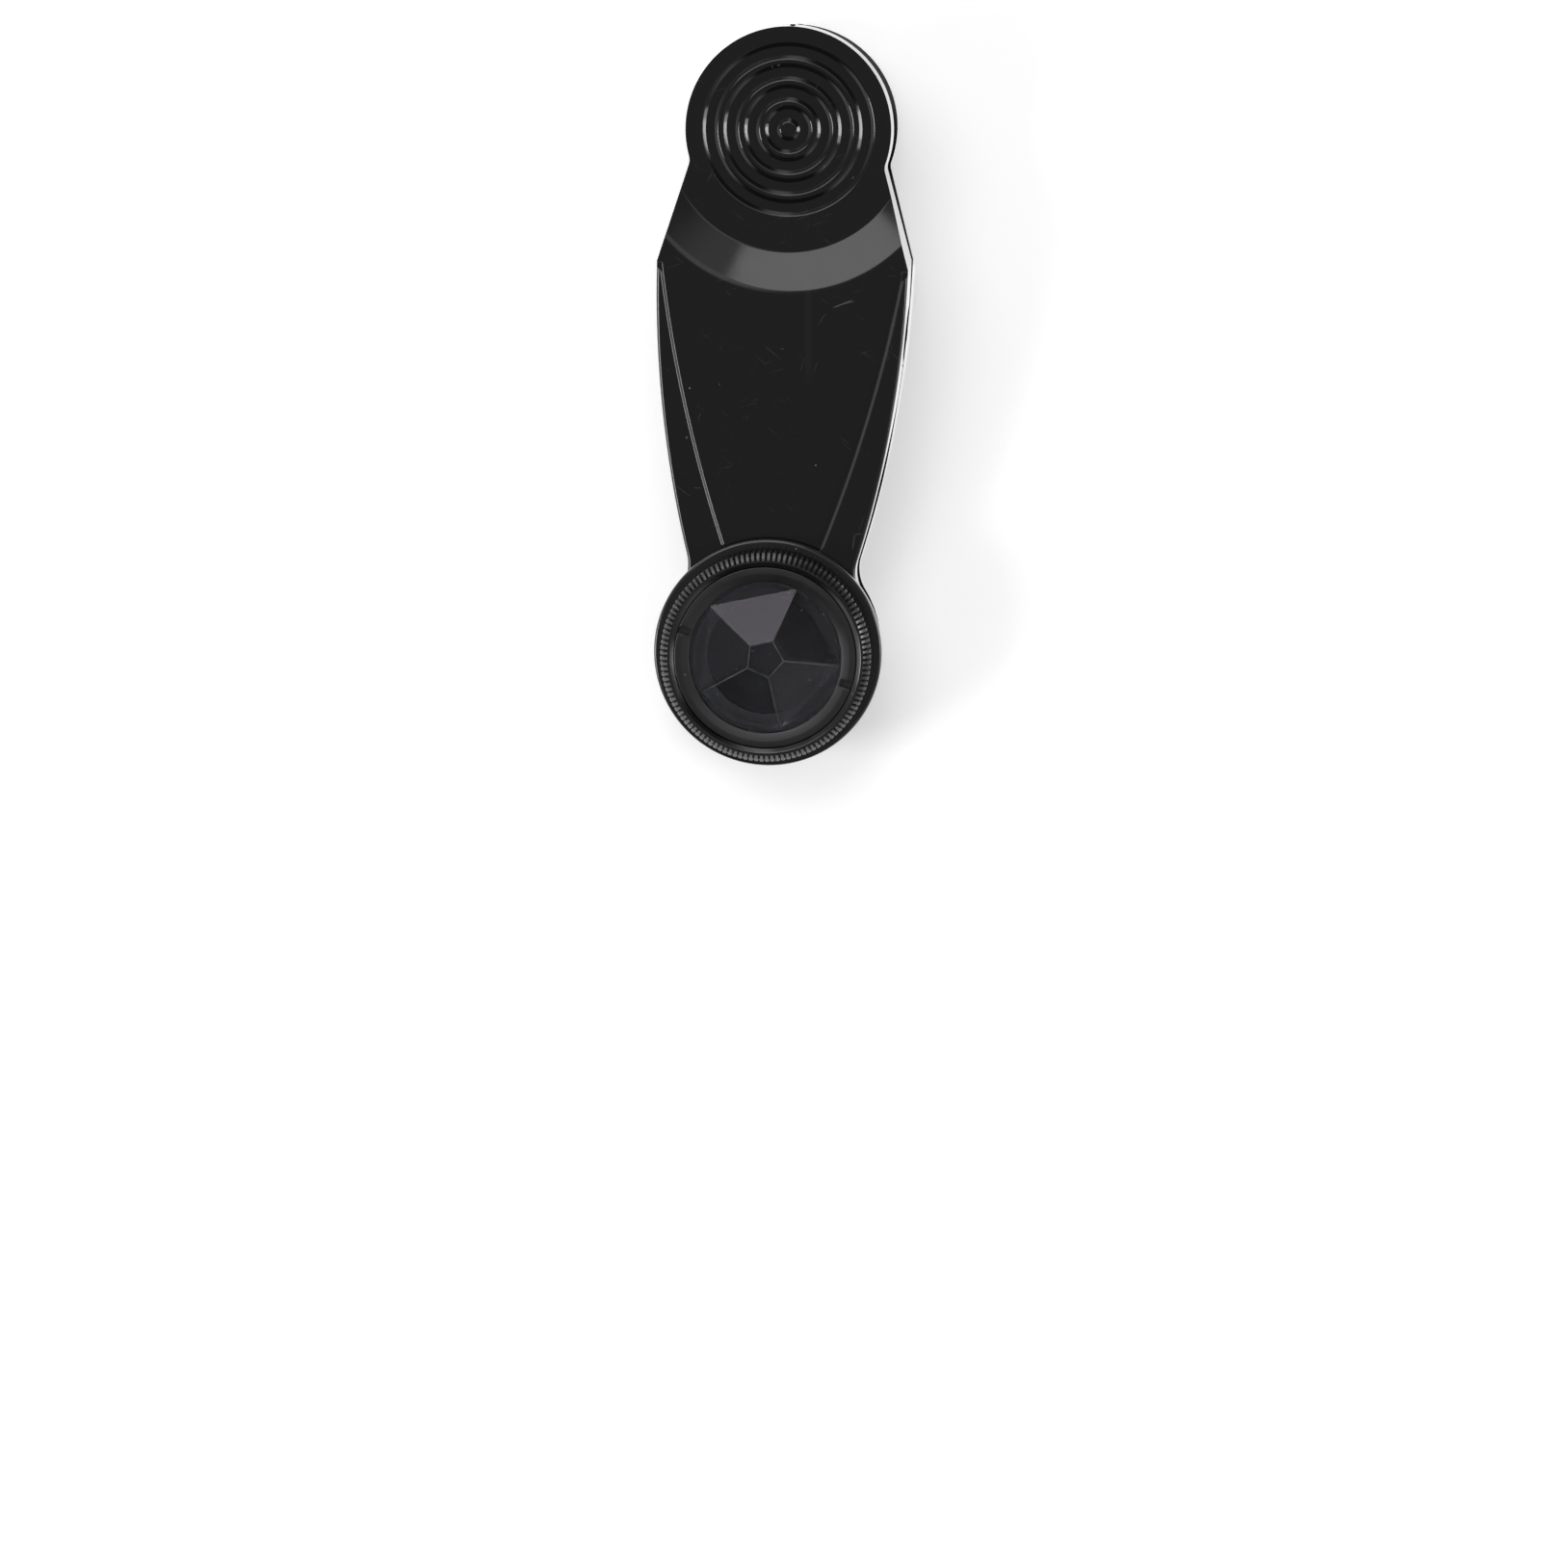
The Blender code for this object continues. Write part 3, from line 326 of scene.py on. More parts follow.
def panel_tool():
    """The recess with its step: a fillet at the foot, a straight slope, and a rounded edge."""
    floor = BODY_RISE - PANEL_RECESS
    steps = 4
    foot = []
    for k in range(steps + 1):
        angle = STEP_SLOPE * k / steps
        foot.append(Vector((STEP_ROUND * math.sin(angle), STEP_ROUND * (1 - math.cos(angle)))))
    rise = PANEL_RECESS + SKIM - 2 * foot[-1].y
    total = Vector((2 * foot[-1].x + rise / math.tan(STEP_SLOPE), PANEL_RECESS + SKIM))
    section = foot + [total - point for point in reversed(foot)]
    levels = [(floor + point.y, panel_outline(point.x)) for point in section]
    levels.append((BODY_RISE + OVERRUN, panel_outline(total.x)))
    return stack("panel_tool", levels)


# The scoop drops to the pad as a shallow cone. The pad's grooves have rounded lips and sloping walls.
SCOOP_INNER_RADIUS = 13.5 * MM
SCOOP_OUTER_RADIUS = 18.95 * MM
SCOOP_LOWER_ROUND = 1.0 * MM
SCOOP_UPPER_ROUND = 3.0 * MM
SCOOP_RUN_OUT = math.radians(2)
GROOVES = 4
GROOVE_WIDTH = 1.82 * MM
GROOVE_PITCH = 2.3 * MM
FIRST_GROOVE_RADIUS = 0.83 * MM
GROOVE_SLOPE = math.radians(36)
GROOVE_LIP = 0.24 * MM
GROOVE_WALL = 0.3 * MM


def groove_wall(radius, direction):
    """Points down one wall of a groove: its rounded lip, then a straight slope to the floor."""
    points = []
    steps = 6
    bend = GROOVE_LIP / math.sin(GROOVE_SLOPE)
    for k in range(steps + 1):
        angle = GROOVE_SLOPE * k / steps
        run = bend * math.sin(angle) - GROOVE_LIP / 2
        points.append(Vector((radius + direction * run, PAD_LEVEL - bend * (1 - math.cos(angle)))))
    points.append(points[-1] + GROOVE_WALL * Vector((direction, -math.tan(GROOVE_SLOPE))))
    return points


def pad_tool():
    """Takes out the scoop, the pad's land and its grooves in one turned cut."""
    slope = THUMB_DROP / (SCOOP_OUTER_RADIUS - SCOOP_INNER_RADIUS)
    floor = BODY_RISE - PANEL_RECESS
    lip = SCOOP_OUTER_RADIUS - PANEL_RECESS / slope
    reach = SCOOP_UPPER_ROUND
    section = rounded([
        (0.0, BODY_RISE + OVERRUN, 0.0),
        (lip + reach, BODY_RISE + OVERRUN, 0.0),
        (lip + reach, floor + reach * math.tan(SCOOP_RUN_OUT), 0.0),
        (lip, floor - SKIM, SCOOP_UPPER_ROUND),
        (SCOOP_INNER_RADIUS, PAD_LEVEL, SCOOP_LOWER_ROUND),
        (THUMB_RADIUS, PAD_LEVEL, 0.0),
    ], steps=8)
    for i in reversed(range(GROOVES)):
        start = FIRST_GROOVE_RADIUS + i * GROOVE_PITCH
        section += groove_wall(start + GROOVE_WIDTH, -1)
        section += reversed(groove_wall(start, 1))
    section.append(Vector((0.0, PAD_LEVEL)))
    tool = lathe("pad_tool", section, steps=144)
    tool.location.y = THUMB_REACH
    return tool


def hollow_tool():
    """Empties the arm from below, and leaves the plates under the body, the pad and the jaw."""
    inside = arm_outline(SKIRT_WALL, SKIRT_WALL)
    tool = stack("hollow_tool", [(-OVERRUN, inside), (PLATE_UNDERSIDE, inside)])
    under_pad = lathe("under_pad_tool", [
        (0.0, BODY_RISE + OVERRUN),
        (SCOOP_OUTER_RADIUS, BODY_RISE + OVERRUN),
        (SCOOP_OUTER_RADIUS, PLATE_UNDERSIDE),
        (SCOOP_INNER_RADIUS, PAD_UNDERSIDE),
        (0.0, PAD_UNDERSIDE),
    ], steps=96)
    under_pad.location.y = THUMB_REACH
    carve(tool, under_pad)
    room = JAW_RADIUS - SKIRT_WALL - JAW_PLATE_INSET
    low = (-SCOOP_INNER_RADIUS, -JAW_REACH - JAW_RADIUS - OVERRUN, JAW_UNDERSIDE)
    carve(tool, block("jaw_tool", low, (SCOOP_INNER_RADIUS, room - JAW_REACH, BODY_RISE)))
    return tool


# Lays a solid stacked along Z across the arm, along X
ACROSS = Matrix(((0, 0, 1, 0), (1, 0, 0, 0), (0, 1, 0, 0), (0, 0, 0, 1)))


def rim_tool():
    """Trims the walls' lower edge: low at the hinge, high round the jaw and under the thumb."""
    thumb_end = THUMB_REACH + THUMB_RADIUS
    past = thumb_end + OVERRUN
    jaw_end = JAW_REACH + JAW_RADIUS + OVERRUN
    rise = (RIM_AT_THUMB - RIM_AT_HINGE) / thumb_end
    low = -BODY_RISE - 3 * OVERRUN
    side = rounded([
        (-jaw_end, low, 0.0),
        (-jaw_end, RIM_AT_JAW, 0.0),
        (-JAW_RIM_REACH, RIM_AT_JAW, RIM_ROUND),
        (-THROAT_REACH, RIM_AT_THROAT, RIM_ROUND),
        (0.0, RIM_AT_HINGE, 0.0),
        (past, RIM_AT_HINGE + rise * past, 0.0),
        (past, low, 0.0),
    ], steps=8)
    wide = SHOULDER_HALF_WIDTH + OVERRUN
    tool = stack("rim_tool", [(-wide, side), (wide, side)])
    tool.matrix_world = ACROSS
    return tool


def hinge_half_width():
    """Half the arm's width at the hinge axis, at its rim."""
    drop = THUMB_REACH - SHOULDER_FROM_THUMB
    return SHOULDER_HALF_WIDTH - SIDE_RADIUS + math.sqrt(SIDE_RADIUS ** 2 - drop ** 2)


def round_top_edge(piece):
    """Rounds the outline's upper edge."""
    pick_edges(piece, lambda ends: min(end.z for end in ends) > BODY_RISE - SKIM)
    bpy.ops.mesh.bevel(offset=EDGE_ROUND, offset_type="OFFSET", segments=6, affect="EDGES")
    bpy.ops.object.mode_set(mode="OBJECT")


GATE_RADIUS = 0.3 * MM
GATE_STUB = 0.08 * MM


def gate_stub():
    """The stub that the mould's gate leaves at the thumb end."""
    stub_end = THUMB_REACH + THUMB_RADIUS + GATE_STUB
    bpy.ops.mesh.primitive_cylinder_add(
        vertices=24,
        radius=GATE_RADIUS,
        depth=2 * SKIRT_WALL,
        location=(0.0, stub_end - SKIRT_WALL, RIM_AT_THUMB + 2 * GATE_RADIUS),
        rotation=(math.pi / 2, 0.0, 0.0),
    )
    bpy.ops.object.transform_apply(location=True, rotation=True, scale=True)
    return bpy.context.object


def arm_blank():
    """What both arms share, in the arm's own frame: hinge axis at the origin, outer face up."""
    levels = []
    for height in (-RIM_AT_HINGE, BODY_RISE):
        above = height - RIM_AT_THUMB
        levels.append((height, arm_outline(above * math.tan(DRAFT), above * math.tan(SIDE_DRAFT))))
    arm = stack("arm", levels)
    round_top_edge(arm)
    carve(arm, panel_tool())
    carve(arm, pad_tool())
    carve(arm, gate_stub(), "UNION")
    carve(arm, hollow_tool())
    carve(arm, rim_tool())
    return arm


PIN_RADIUS = 1.0 * MM
PIN_FIT = 0.1 * MM
EAR_RADIUS = 3.2 * MM
EAR_INSET = 0.25 * MM
EAR_GAP = 0.45 * MM
EAR_RELIEF = 0.35 * MM
LUG_RADIUS = 3.0 * MM
LUG_WIDTH = 1.8 * MM
THREAD_RADIUS = 7.4 * MM
THREAD_FIT = 0.1 * MM


def lug_tool(low, high):
    """A hinge lug that hangs from the plate and is round about the pin."""
    root = PLATE_UNDERSIDE + PLATE / 3
    side = [Vector((LUG_RADIUS, root))]
    side += arc(Vector((0.0, 0.0)), LUG_RADIUS, 0.0, -math.pi, 32)
    side.append(Vector((-LUG_RADIUS, root)))
    tool = stack("lug_tool", [(low, side), (high, side)])
    tool.matrix_world = ACROSS
    return tool


def settle(piece, place):
    """Moves a finished mesh to its place, with the object itself at the origin."""
    piece.data.transform(place)
    piece.data.update()


def build_arms():
    front = arm_blank()
    pick_only(front)
    bpy.ops.object.duplicate()
    rear = bpy.context.object
    front.name = "front_arm_moulding"
    rear.name = "rear_arm_moulding"
    reach = SHOULDER_HALF_WIDTH + OVERRUN
    half = hinge_half_width()
    for sign in (1, -1):
        low, high = sorted((sign * (half - SKIRT_WALL), sign * (half - EAR_INSET)))
        carve(rear, cross_bar("ear_tool", EAR_RADIUS, low, high), "UNION")
        lug_outer = half - SKIRT_WALL - EAR_GAP
        low, high = sorted((sign * (lug_outer - LUG_WIDTH), sign * lug_outer))
        carve(front, lug_tool(low, high), "UNION")
        low, high = sorted((sign * (half - SKIRT_WALL - EAR_GAP / 2), sign * reach))
        carve(front, cross_bar("relief_tool", EAR_RADIUS + EAR_RELIEF, low, high))
    carve(rear, cross_bar("bore_tool", PIN_RADIUS + PIN_FIT / 2, -reach, reach))
    carve(front, cross_bar("bore_tool", PIN_RADIUS + PIN_FIT, -reach, reach))
    bpy.ops.mesh.primitive_cylinder_add(
        vertices=128,
        radius=THREAD_RADIUS + THREAD_FIT,
        depth=4 * BODY_RISE,
        location=(0.0, -JAW_REACH, 0.0),
    )
    carve(front, bpy.context.object)
    settle(front, FRONT_PLACE)
    settle(rear, REAR_PLACE)
    for arm in (front, rear):
        turn_faces_out(arm)
        smooth(arm)
    return front, rear


front_arm, rear_arm = build_arms()
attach(front_arm, "front_half")
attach(rear_arm, "rear_half")
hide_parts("front_arm")
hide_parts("rear_arm")


def add_node(tree, kind, settings, inputs):
    """A node with its settings made, and each input joined to a socket or given a value."""
    node = tree.nodes.new(kind)
    for name, value in settings.items():
        setattr(node, name, value)
    for name, value in inputs.items():
        if isinstance(value, bpy.types.NodeSocket):
            tree.links.new(value, node.inputs[name])
        else:
            node.inputs[name].default_value = value
    return node


def calculate(tree, operation, first, second=0.0, clamp=False):
    settings = {"operation": operation, "use_clamp": clamp}
    return add_node(tree, "ShaderNodeMath", settings, {0: first, 1: second}).outputs[0]


def remap(tree, value, low, high, new_low=0.0, new_high=1.0):
    """A smooth step from one range of values to another."""
    inputs = {"Value": value, "From Min": low, "From Max": high, "To Min": new_low, "To Max": new_high}
    return add_node(tree, "ShaderNodeMapRange", {"interpolation_type": "SMOOTHSTEP"}, inputs).outputs[0]


def add_noise(tree, vector, scale, detail, roughness=0.5):
    inputs = {"Vector": vector, "Scale": scale, "Detail": detail, "Roughness": roughness}
    return add_node(tree, "ShaderNodeTexNoise", {}, inputs).outputs["Fac"]


def new_group(name, numbers, result):
    """An empty node group from a vector and named numbers to one number, and its two end nodes."""
    group = bpy.data.node_groups.new(name, "ShaderNodeTree")
    group.interface.new_socket("Vector", in_out="INPUT", socket_type="NodeSocketVector")
    for number in numbers:
        group.interface.new_socket(number, in_out="INPUT", socket_type="NodeSocketFloat")
    group.interface.new_socket(result, in_out="OUTPUT", socket_type="NodeSocketFloat")
    return group, group.nodes.new("NodeGroupInput").outputs, group.nodes.new("NodeGroupOutput").inputs


def make_rub_marks():
    """Short hairline rubs in three directions, in clusters, as handling leaves on a gloss surface."""
    group, given, result = new_group("rub_marks", ("Scale", "Amount"), "Mask")
    where = remap(group, add_noise(group, given["Vector"], 260.0, 2.0), 0.5, 0.66)
    total = None
    for turn in (0.35, 1.25, 2.5):
        stretched = add_node(
            group, "ShaderNodeMapping", {"vector_type": "TEXTURE"},
            {"Vector": given["Vector"], "Rotation": (0.0, 0.0, turn), "Scale": (22.0, 1.0, 4.0)},
        )
        line = remap(group, add_noise(group, stretched.outputs[0], given["Scale"], 1.0, 0.4), 0.7, 0.78)
        total = line if total is None else calculate(group, "MAXIMUM", total, line)
    masked = calculate(group, "MULTIPLY", total, where)
    group.links.new(calculate(group, "MULTIPLY", masked, given["Amount"]), result["Mask"])
    return group


def make_specks():
    """Scattered dust grains and pinholes."""
    group, given, result = new_group("specks", ("Scale", "Size"), "Mask")
    inputs = {"Vector": given["Vector"], "Scale": given["Scale"]}
    cells = add_node(group, "ShaderNodeTexVoronoi", {}, inputs)
    near = calculate(group, "LESS_THAN", cells.outputs["Distance"], given["Size"])
    chance = add_node(group, "ShaderNodeSeparateColor", {}, {"Color": cells.outputs["Color"]})
    kept = calculate(group, "GREATER_THAN", chance.outputs[0], 0.82)
    group.links.new(calculate(group, "MULTIPLY", near, kept), result["Mask"])
    return group


def make_cloud():
    """Slow blotches of finger grease and uneven gloss, from 0 to 1."""
    group, given, result = new_group("cloud", ("Scale",), "Value")
    noise = add_noise(group, given["Vector"], given["Scale"], 4.0, 0.55)
    group.links.new(remap(group, noise, 0.3, 0.7), result["Value"])
    return group


rub_marks = make_rub_marks()
specks = make_specks()
cloud = make_cloud()


def use_group(tree, group, inputs):
    return add_node(tree, "ShaderNodeGroup", {"node_tree": group}, inputs).outputs[0]


def new_material(name):
    """A material, its node tree, its shader and the piece's own coordinates."""
    material = bpy.data.materials.new(name)
    material.use_nodes = True
    tree = material.node_tree
    place = tree.nodes.new("ShaderNodeTexCoord").outputs["Object"]
    return material, tree, tree.nodes["Principled BSDF"], place


def set_bump(tree, shader, height, distance):
    inputs = {"Height": height, "Distance": distance, "Strength": 1.0}
    tree.links.new(add_node(tree, "ShaderNodeBump", {}, inputs).outputs[0], shader.inputs["Normal"])


def set_colour(tree, shader, mask, plain, marked):
    """A base colour that goes from one to the other by a mask."""
    mix = tree.nodes.new("ShaderNodeMix")
    mix.data_type = "RGBA"
    mix.inputs[6].default_value = (*plain, 1.0)
    mix.inputs[7].default_value = (*marked, 1.0)
    tree.links.new(mask, mix.inputs[0])
    tree.links.new(mix.outputs[2], shader.inputs["Base Color"])


def set_roughness(tree, shader, least, *parts):
    """The least roughness, and more of it for each part, given as (value, amount)."""
    total = least
    for value, amount in parts:
        total = calculate(tree, "ADD", calculate(tree, "MULTIPLY", value, amount), total)
    tree.links.new(total, shader.inputs["Roughness"])


def make_single_mark():
    """One scratch or nick: a box of -1 to 1 that fades towards its ends and sides."""
    group, given, result = new_group("single_mark", (), "Mask")
    split = add_node(group, "ShaderNodeSeparateXYZ", {}, {0: given["Vector"]})
    mask = 1.0
    for axis, sharpness in zip(split.outputs, (2.5, 1.5, 4.0)):
        inside = calculate(group, "SUBTRACT", 1.0, calculate(group, "ABSOLUTE", axis))
        mask = calculate(group, "MULTIPLY", calculate(group, "MULTIPLY", inside, sharpness, True), mask)
    group.links.new(mask, result["Mask"])
    return group


# Marks on the front arm: middle (x, y), direction in degrees, length, width and strength
FRONT_MARKS = [
    ((6.8, 9.9), 23, 2.5, 0.12, 1.0),
    ((7.6, 10.1), 15, 1.3, 0.08, 0.5),
    ((3.1, 7.0), 92, 13.0, 0.9, 0.035),
    ((4.6, 8.2), 60, 1.4, 0.12, 0.25),
    ((9.0, -16.2), 84, 1.9, 0.14, 0.45),
    ((9.5, -15.3), 10, 0.9, 0.12, 0.4),
    ((-1.3, 35.7), 10, 0.35, 0.14, 0.9),
    ((-2.0, 35.5), 80, 0.3, 0.12, 0.7),
    ((4.1, 24.9), 60, 0.3, 0.2, 0.8),
    ((7.3, 23.8), 40, 0.35, 0.14, 0.7),
    ((0.3, 4.7), 0, 0.4, 0.1, 0.6),
    ((-6.5, 0.5), 70, 0.25, 0.15, 0.5),
    ((-9.9, -5.5), 90, 0.35, 0.2, 0.8),
    ((-8.5, -11.0), 2, 0.8, 0.08, 0.5),
]


NEAR_BLACK = (0.0066, 0.0063, 0.0064)
PALE_DUST = (0.12, 0.12, 0.115)


def make_plastic(name, marks):
    """Near-black gloss plastic: a faint flow ripple, handling rubs, dust, and the marks given."""
    material, tree, shader, place = new_material(name)
    scuffs = use_group(tree, rub_marks, {"Vector": place, "Scale": 5200.0, "Amount": 0.2})
    dust = use_group(tree, specks, {"Vector": place, "Scale": 420.0, "Size": 0.045})
    grease = use_group(tree, cloud, {"Vector": place, "Scale": 130.0})
    worn = calculate(tree, "MAXIMUM", scuffs, dust)
    if marks:
        single = make_single_mark()
        for (x, y), direction, length, width, strength in marks:
            drop = Vector((0.0, y * MM, 0.0)) - HINGE
            level = HINGE.z + BODY_RISE + drop.y * math.tan(LEAN)
            local = add_node(tree, "ShaderNodeMapping", {"vector_type": "TEXTURE"}, {
                "Vector": place,
                "Location": (x * MM, y * MM, level),
                "Rotation": (0.0, 0.0, math.radians(direction)),
                "Scale": (length * MM / 2, width * MM / 2, 3 * MM),
            })
            mark = use_group(tree, single, {"Vector": local.outputs[0]})
            worn = calculate(tree, "MAXIMUM", worn, calculate(tree, "MULTIPLY", mark, strength))
    set_colour(tree, shader, worn, NEAR_BLACK, PALE_DUST)
    set_roughness(tree, shader, 0.1, (grease, 0.05), (worn, 0.3))
    ripple = calculate(tree, "MULTIPLY", add_noise(tree, place, 700.0, 2.0), 0.25)
    set_bump(tree, shader, calculate(tree, "SUBTRACT", ripple, worn), 0.003 * MM)
    shader.inputs["IOR"].default_value = 1.5
    return material


front_arm.data.materials.append(make_plastic("front_arm_plastic", FRONT_MARKS))
rear_arm.data.materials.append(make_plastic("rear_arm_plastic", []))

# Hinge pin.
# A ground steel pin with chamfered ends, pressed through the rear arm's ears. The front arm's two
# lugs turn on it.
PIN_END_ROUND = 0.2 * MM
pin_half = hinge_half_width() - EAR_INSET
pin = lathe("hinge_pin_ground", rounded([
    (0.0, pin_half, 0.0),
    (PIN_RADIUS, pin_half, PIN_END_ROUND),
    (PIN_RADIUS, -pin_half, PIN_END_ROUND),
    (0.0, -pin_half, 0.0),
]), steps=64)
settle(pin, Matrix.Translation(HINGE) @ Matrix.Rotation(math.pi / 2, 4, "Y"))
smooth(pin)


def make_steel(name, colour, grain, roughness):
    """Bare steel with fine lines along or across X and a little uneven tarnish."""
    material, tree, shader, place = new_material(name)
    lined = add_node(tree, "ShaderNodeMapping", {}, {"Vector": place, "Scale": grain})
    lines = add_noise(tree, lined.outputs[0], 900.0, 3.0)
    tarnish = use_group(tree, cloud, {"Vector": place, "Scale": 500.0})
    dull = tuple(0.6 * value for value in colour)
    set_colour(tree, shader, tarnish, colour, dull)
    set_roughness(tree, shader, roughness, (lines, 0.2))
    shader.inputs["Metallic"].default_value = 1.0
    set_bump(tree, shader, lines, 0.004 * MM)
    return material


pin.data.materials.append(make_steel("pin_steel", (0.6, 0.6, 0.61), (4.0, 1.0, 1.0), 0.18))
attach(pin, "rear_half")
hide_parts("hinge_pin")

# Torsion spring.
# Drawn steel wire wound round the pin, with a straight leg under each thumb pad. It is one fixed mesh,
# drawn at rest and attached to neither half.
WIRE_RADIUS = 0.45 * MM
COIL_RADIUS = 2.7 * MM
COIL_TURNS = 5
COIL_PITCH = 1.05 * MM
POINTS_PER_TURN = 32
LEG_REACH = 13.0 * MM
LEG_GAP = 0.3 * MM


def spring_route():
    """Front leg, coil and rear leg, about the hinge axis, and half the coil's length."""
    leg = Vector((LEG_REACH, PAD_UNDERSIDE - LEG_GAP - WIRE_RADIUS))
    lead = math.acos(COIL_RADIUS / leg.length)
    front_end = heading(leg) + LEAN
    rear_end = -heading(leg)
    start = front_end + lead
    end = rear_end - lead + 2 * math.pi * (COIL_TURNS + 1)
    half = COIL_PITCH * (end - start) / (4 * math.pi)
    count = round(POINTS_PER_TURN * (end - start) / (2 * math.pi))
    route = [Vector((-half, leg.length * math.cos(front_end), leg.length * math.sin(front_end)))]
    for i in range(count + 1):
        angle = start + (end - start) * i / count
        along = half * (2 * i / count - 1)
        route.append(Vector((along, COIL_RADIUS * math.cos(angle), COIL_RADIUS * math.sin(angle))))
    route.append(Vector((half, leg.length * math.cos(rear_end), leg.length * math.sin(rear_end))))
    return route, half


def draw_wire(name, route, radius, place):
    """A round wire along a route, made a closed mesh."""
    curve = bpy.data.curves.new(name, "CURVE")
    curve.dimensions = "3D"
    curve.bevel_depth = radius
    curve.bevel_resolution = 4
    curve.use_fill_caps = True
    spline = curve.splines.new("POLY")
    spline.points.add(len(route) - 1)
    for point, position in zip(spline.points, route):
        point.co = (*(place @ position), 1.0)
    wire = bpy.data.objects.new(name, curve)
    bpy.context.scene.collection.objects.link(wire)
    pick_only(wire)
    bpy.ops.object.convert(target="MESH")
    wire = bpy.context.object
    bpy.ops.object.mode_set(mode="EDIT")
    bpy.ops.mesh.select_all(action="SELECT")
    bpy.ops.mesh.remove_doubles(threshold=MERGE)
    bpy.ops.mesh.normals_make_consistent(inside=False)
    bpy.ops.object.mode_set(mode="OBJECT")
    smooth(wire, math.radians(50))
    return wire


route, coil_half = spring_route()
spring = draw_wire("torsion_spring_wire", route, WIRE_RADIUS, Matrix.Translation(HINGE))
spring_steel = make_steel("spring_steel", (0.5, 0.5, 0.52), (1.0, 1.0, 1.0), 0.24)
spring.data.materials.append(spring_steel)
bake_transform(spring)
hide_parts("torsion_spring")

# Jaw pads.
# Matt black rubber, glued into the two jaws: a disc at the back and a ring round the lens hole at the
# front. Their gripping faces are softly rounded at the edge.
SEAT_GAP = 0.15 * MM
JAW_PAD = 1.2 * MM
JAW_PAD_FIT = 0.3 * MM
JAW_PAD_ROUND = 0.35 * MM
pad_radius = JAW_RADIUS - SKIRT_WALL - JAW_PAD_FIT
pad_top = JAW_UNDERSIDE - SEAT_GAP
pad_face = pad_top - JAW_PAD
rear_pad = lathe("rear_jaw_rubber", rounded([
    (0.0, pad_top, 0.0),
    (pad_radius, pad_top, 0.0),
    (pad_radius, pad_face, JAW_PAD_ROUND),
    (0.0, pad_face, 0.0),
]))
front_pad = lathe("front_jaw_rubber", rounded([
    (THREAD_RADIUS + JAW_PAD_FIT, pad_top, 0.0),
    (pad_radius, pad_top, 0.0),
    (pad_radius, pad_face, JAW_PAD_ROUND),
    (THREAD_RADIUS + JAW_PAD_FIT, pad_face, JAW_PAD_ROUND),
]))


def make_rubber(name, colour):
    """Matt moulded rubber with a fine pebble and pale dust in it."""
    material, tree, shader, place = new_material(name)
    dust = use_group(tree, specks, {"Vector": place, "Scale": 900.0, "Size": 0.09})
    bloom = use_group(tree, cloud, {"Vector": place, "Scale": 240.0})
    bloomed = calculate(tree, "MULTIPLY", bloom, 0.12)
    mask = calculate(tree, "ADD", calculate(tree, "MULTIPLY", dust, 0.4), bloomed)
    set_colour(tree, shader, mask, colour, PALE_DUST)
    set_roughness(tree, shader, 0.68, (bloom, 0.12))
    set_bump(tree, shader, add_noise(tree, place, 5200.0, 2.0), 0.02 * MM)
    return material


rubber = make_rubber("pad_rubber", (0.016, 0.016, 0.016))
for pad, place, body, node in (
    (rear_pad, REAR_PLACE, "rear_half", "rear_jaw_pad"),
    (front_pad, FRONT_PLACE, "front_half", "front_jaw_pad"),
):
    settle(pad, place @ Matrix.Translation((0.0, -JAW_REACH, 0.0)))
    turn_faces_out(pad)
    smooth(pad)
    pad.data.materials.append(rubber)
    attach(pad, body)
    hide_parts(node)

# Lens base.
# Black anodised aluminium, turned in one piece: a wide flange on the jaw, a hub that the bezel turns
# on, and a threaded tube that screws into the jaw.
BEZEL_RADIUS = 11.65 * MM
SLEEVE_WALL = 2.13 * MM
LEDGE_WIDTH = 1.92 * MM
RUNNING_FIT = 0.12 * MM
APERTURE_RADIUS = 6.3 * MM
FLANGE_RADIUS = 12.65 * MM
FLANGE = 1.2 * MM
FLANGE_ROUND = 0.32 * MM
HUB_RISE = 1.7 * MM
WASHER = 0.25 * MM
RING_WIRE_RADIUS = 0.22 * MM
RING_GROOVE_HALF = 0.3 * MM
THREAD_PITCH = 0.5 * MM
THREAD_DEPTH = 0.16 * MM
THREAD_TURNS = 4
TURNED_EDGE = 0.1 * MM
sleeve_radius = BEZEL_RADIUS - SLEEVE_WALL
hub_radius = sleeve_radius - RUNNING_FIT
flange_bottom = SEAT_GAP
flange_top = flange_bottom + FLANGE
bezel_bottom = flange_top + SEAT_GAP + WASHER
hub_top = flange_top + HUB_RISE
ring_level = (bezel_bottom + hub_top) / 2


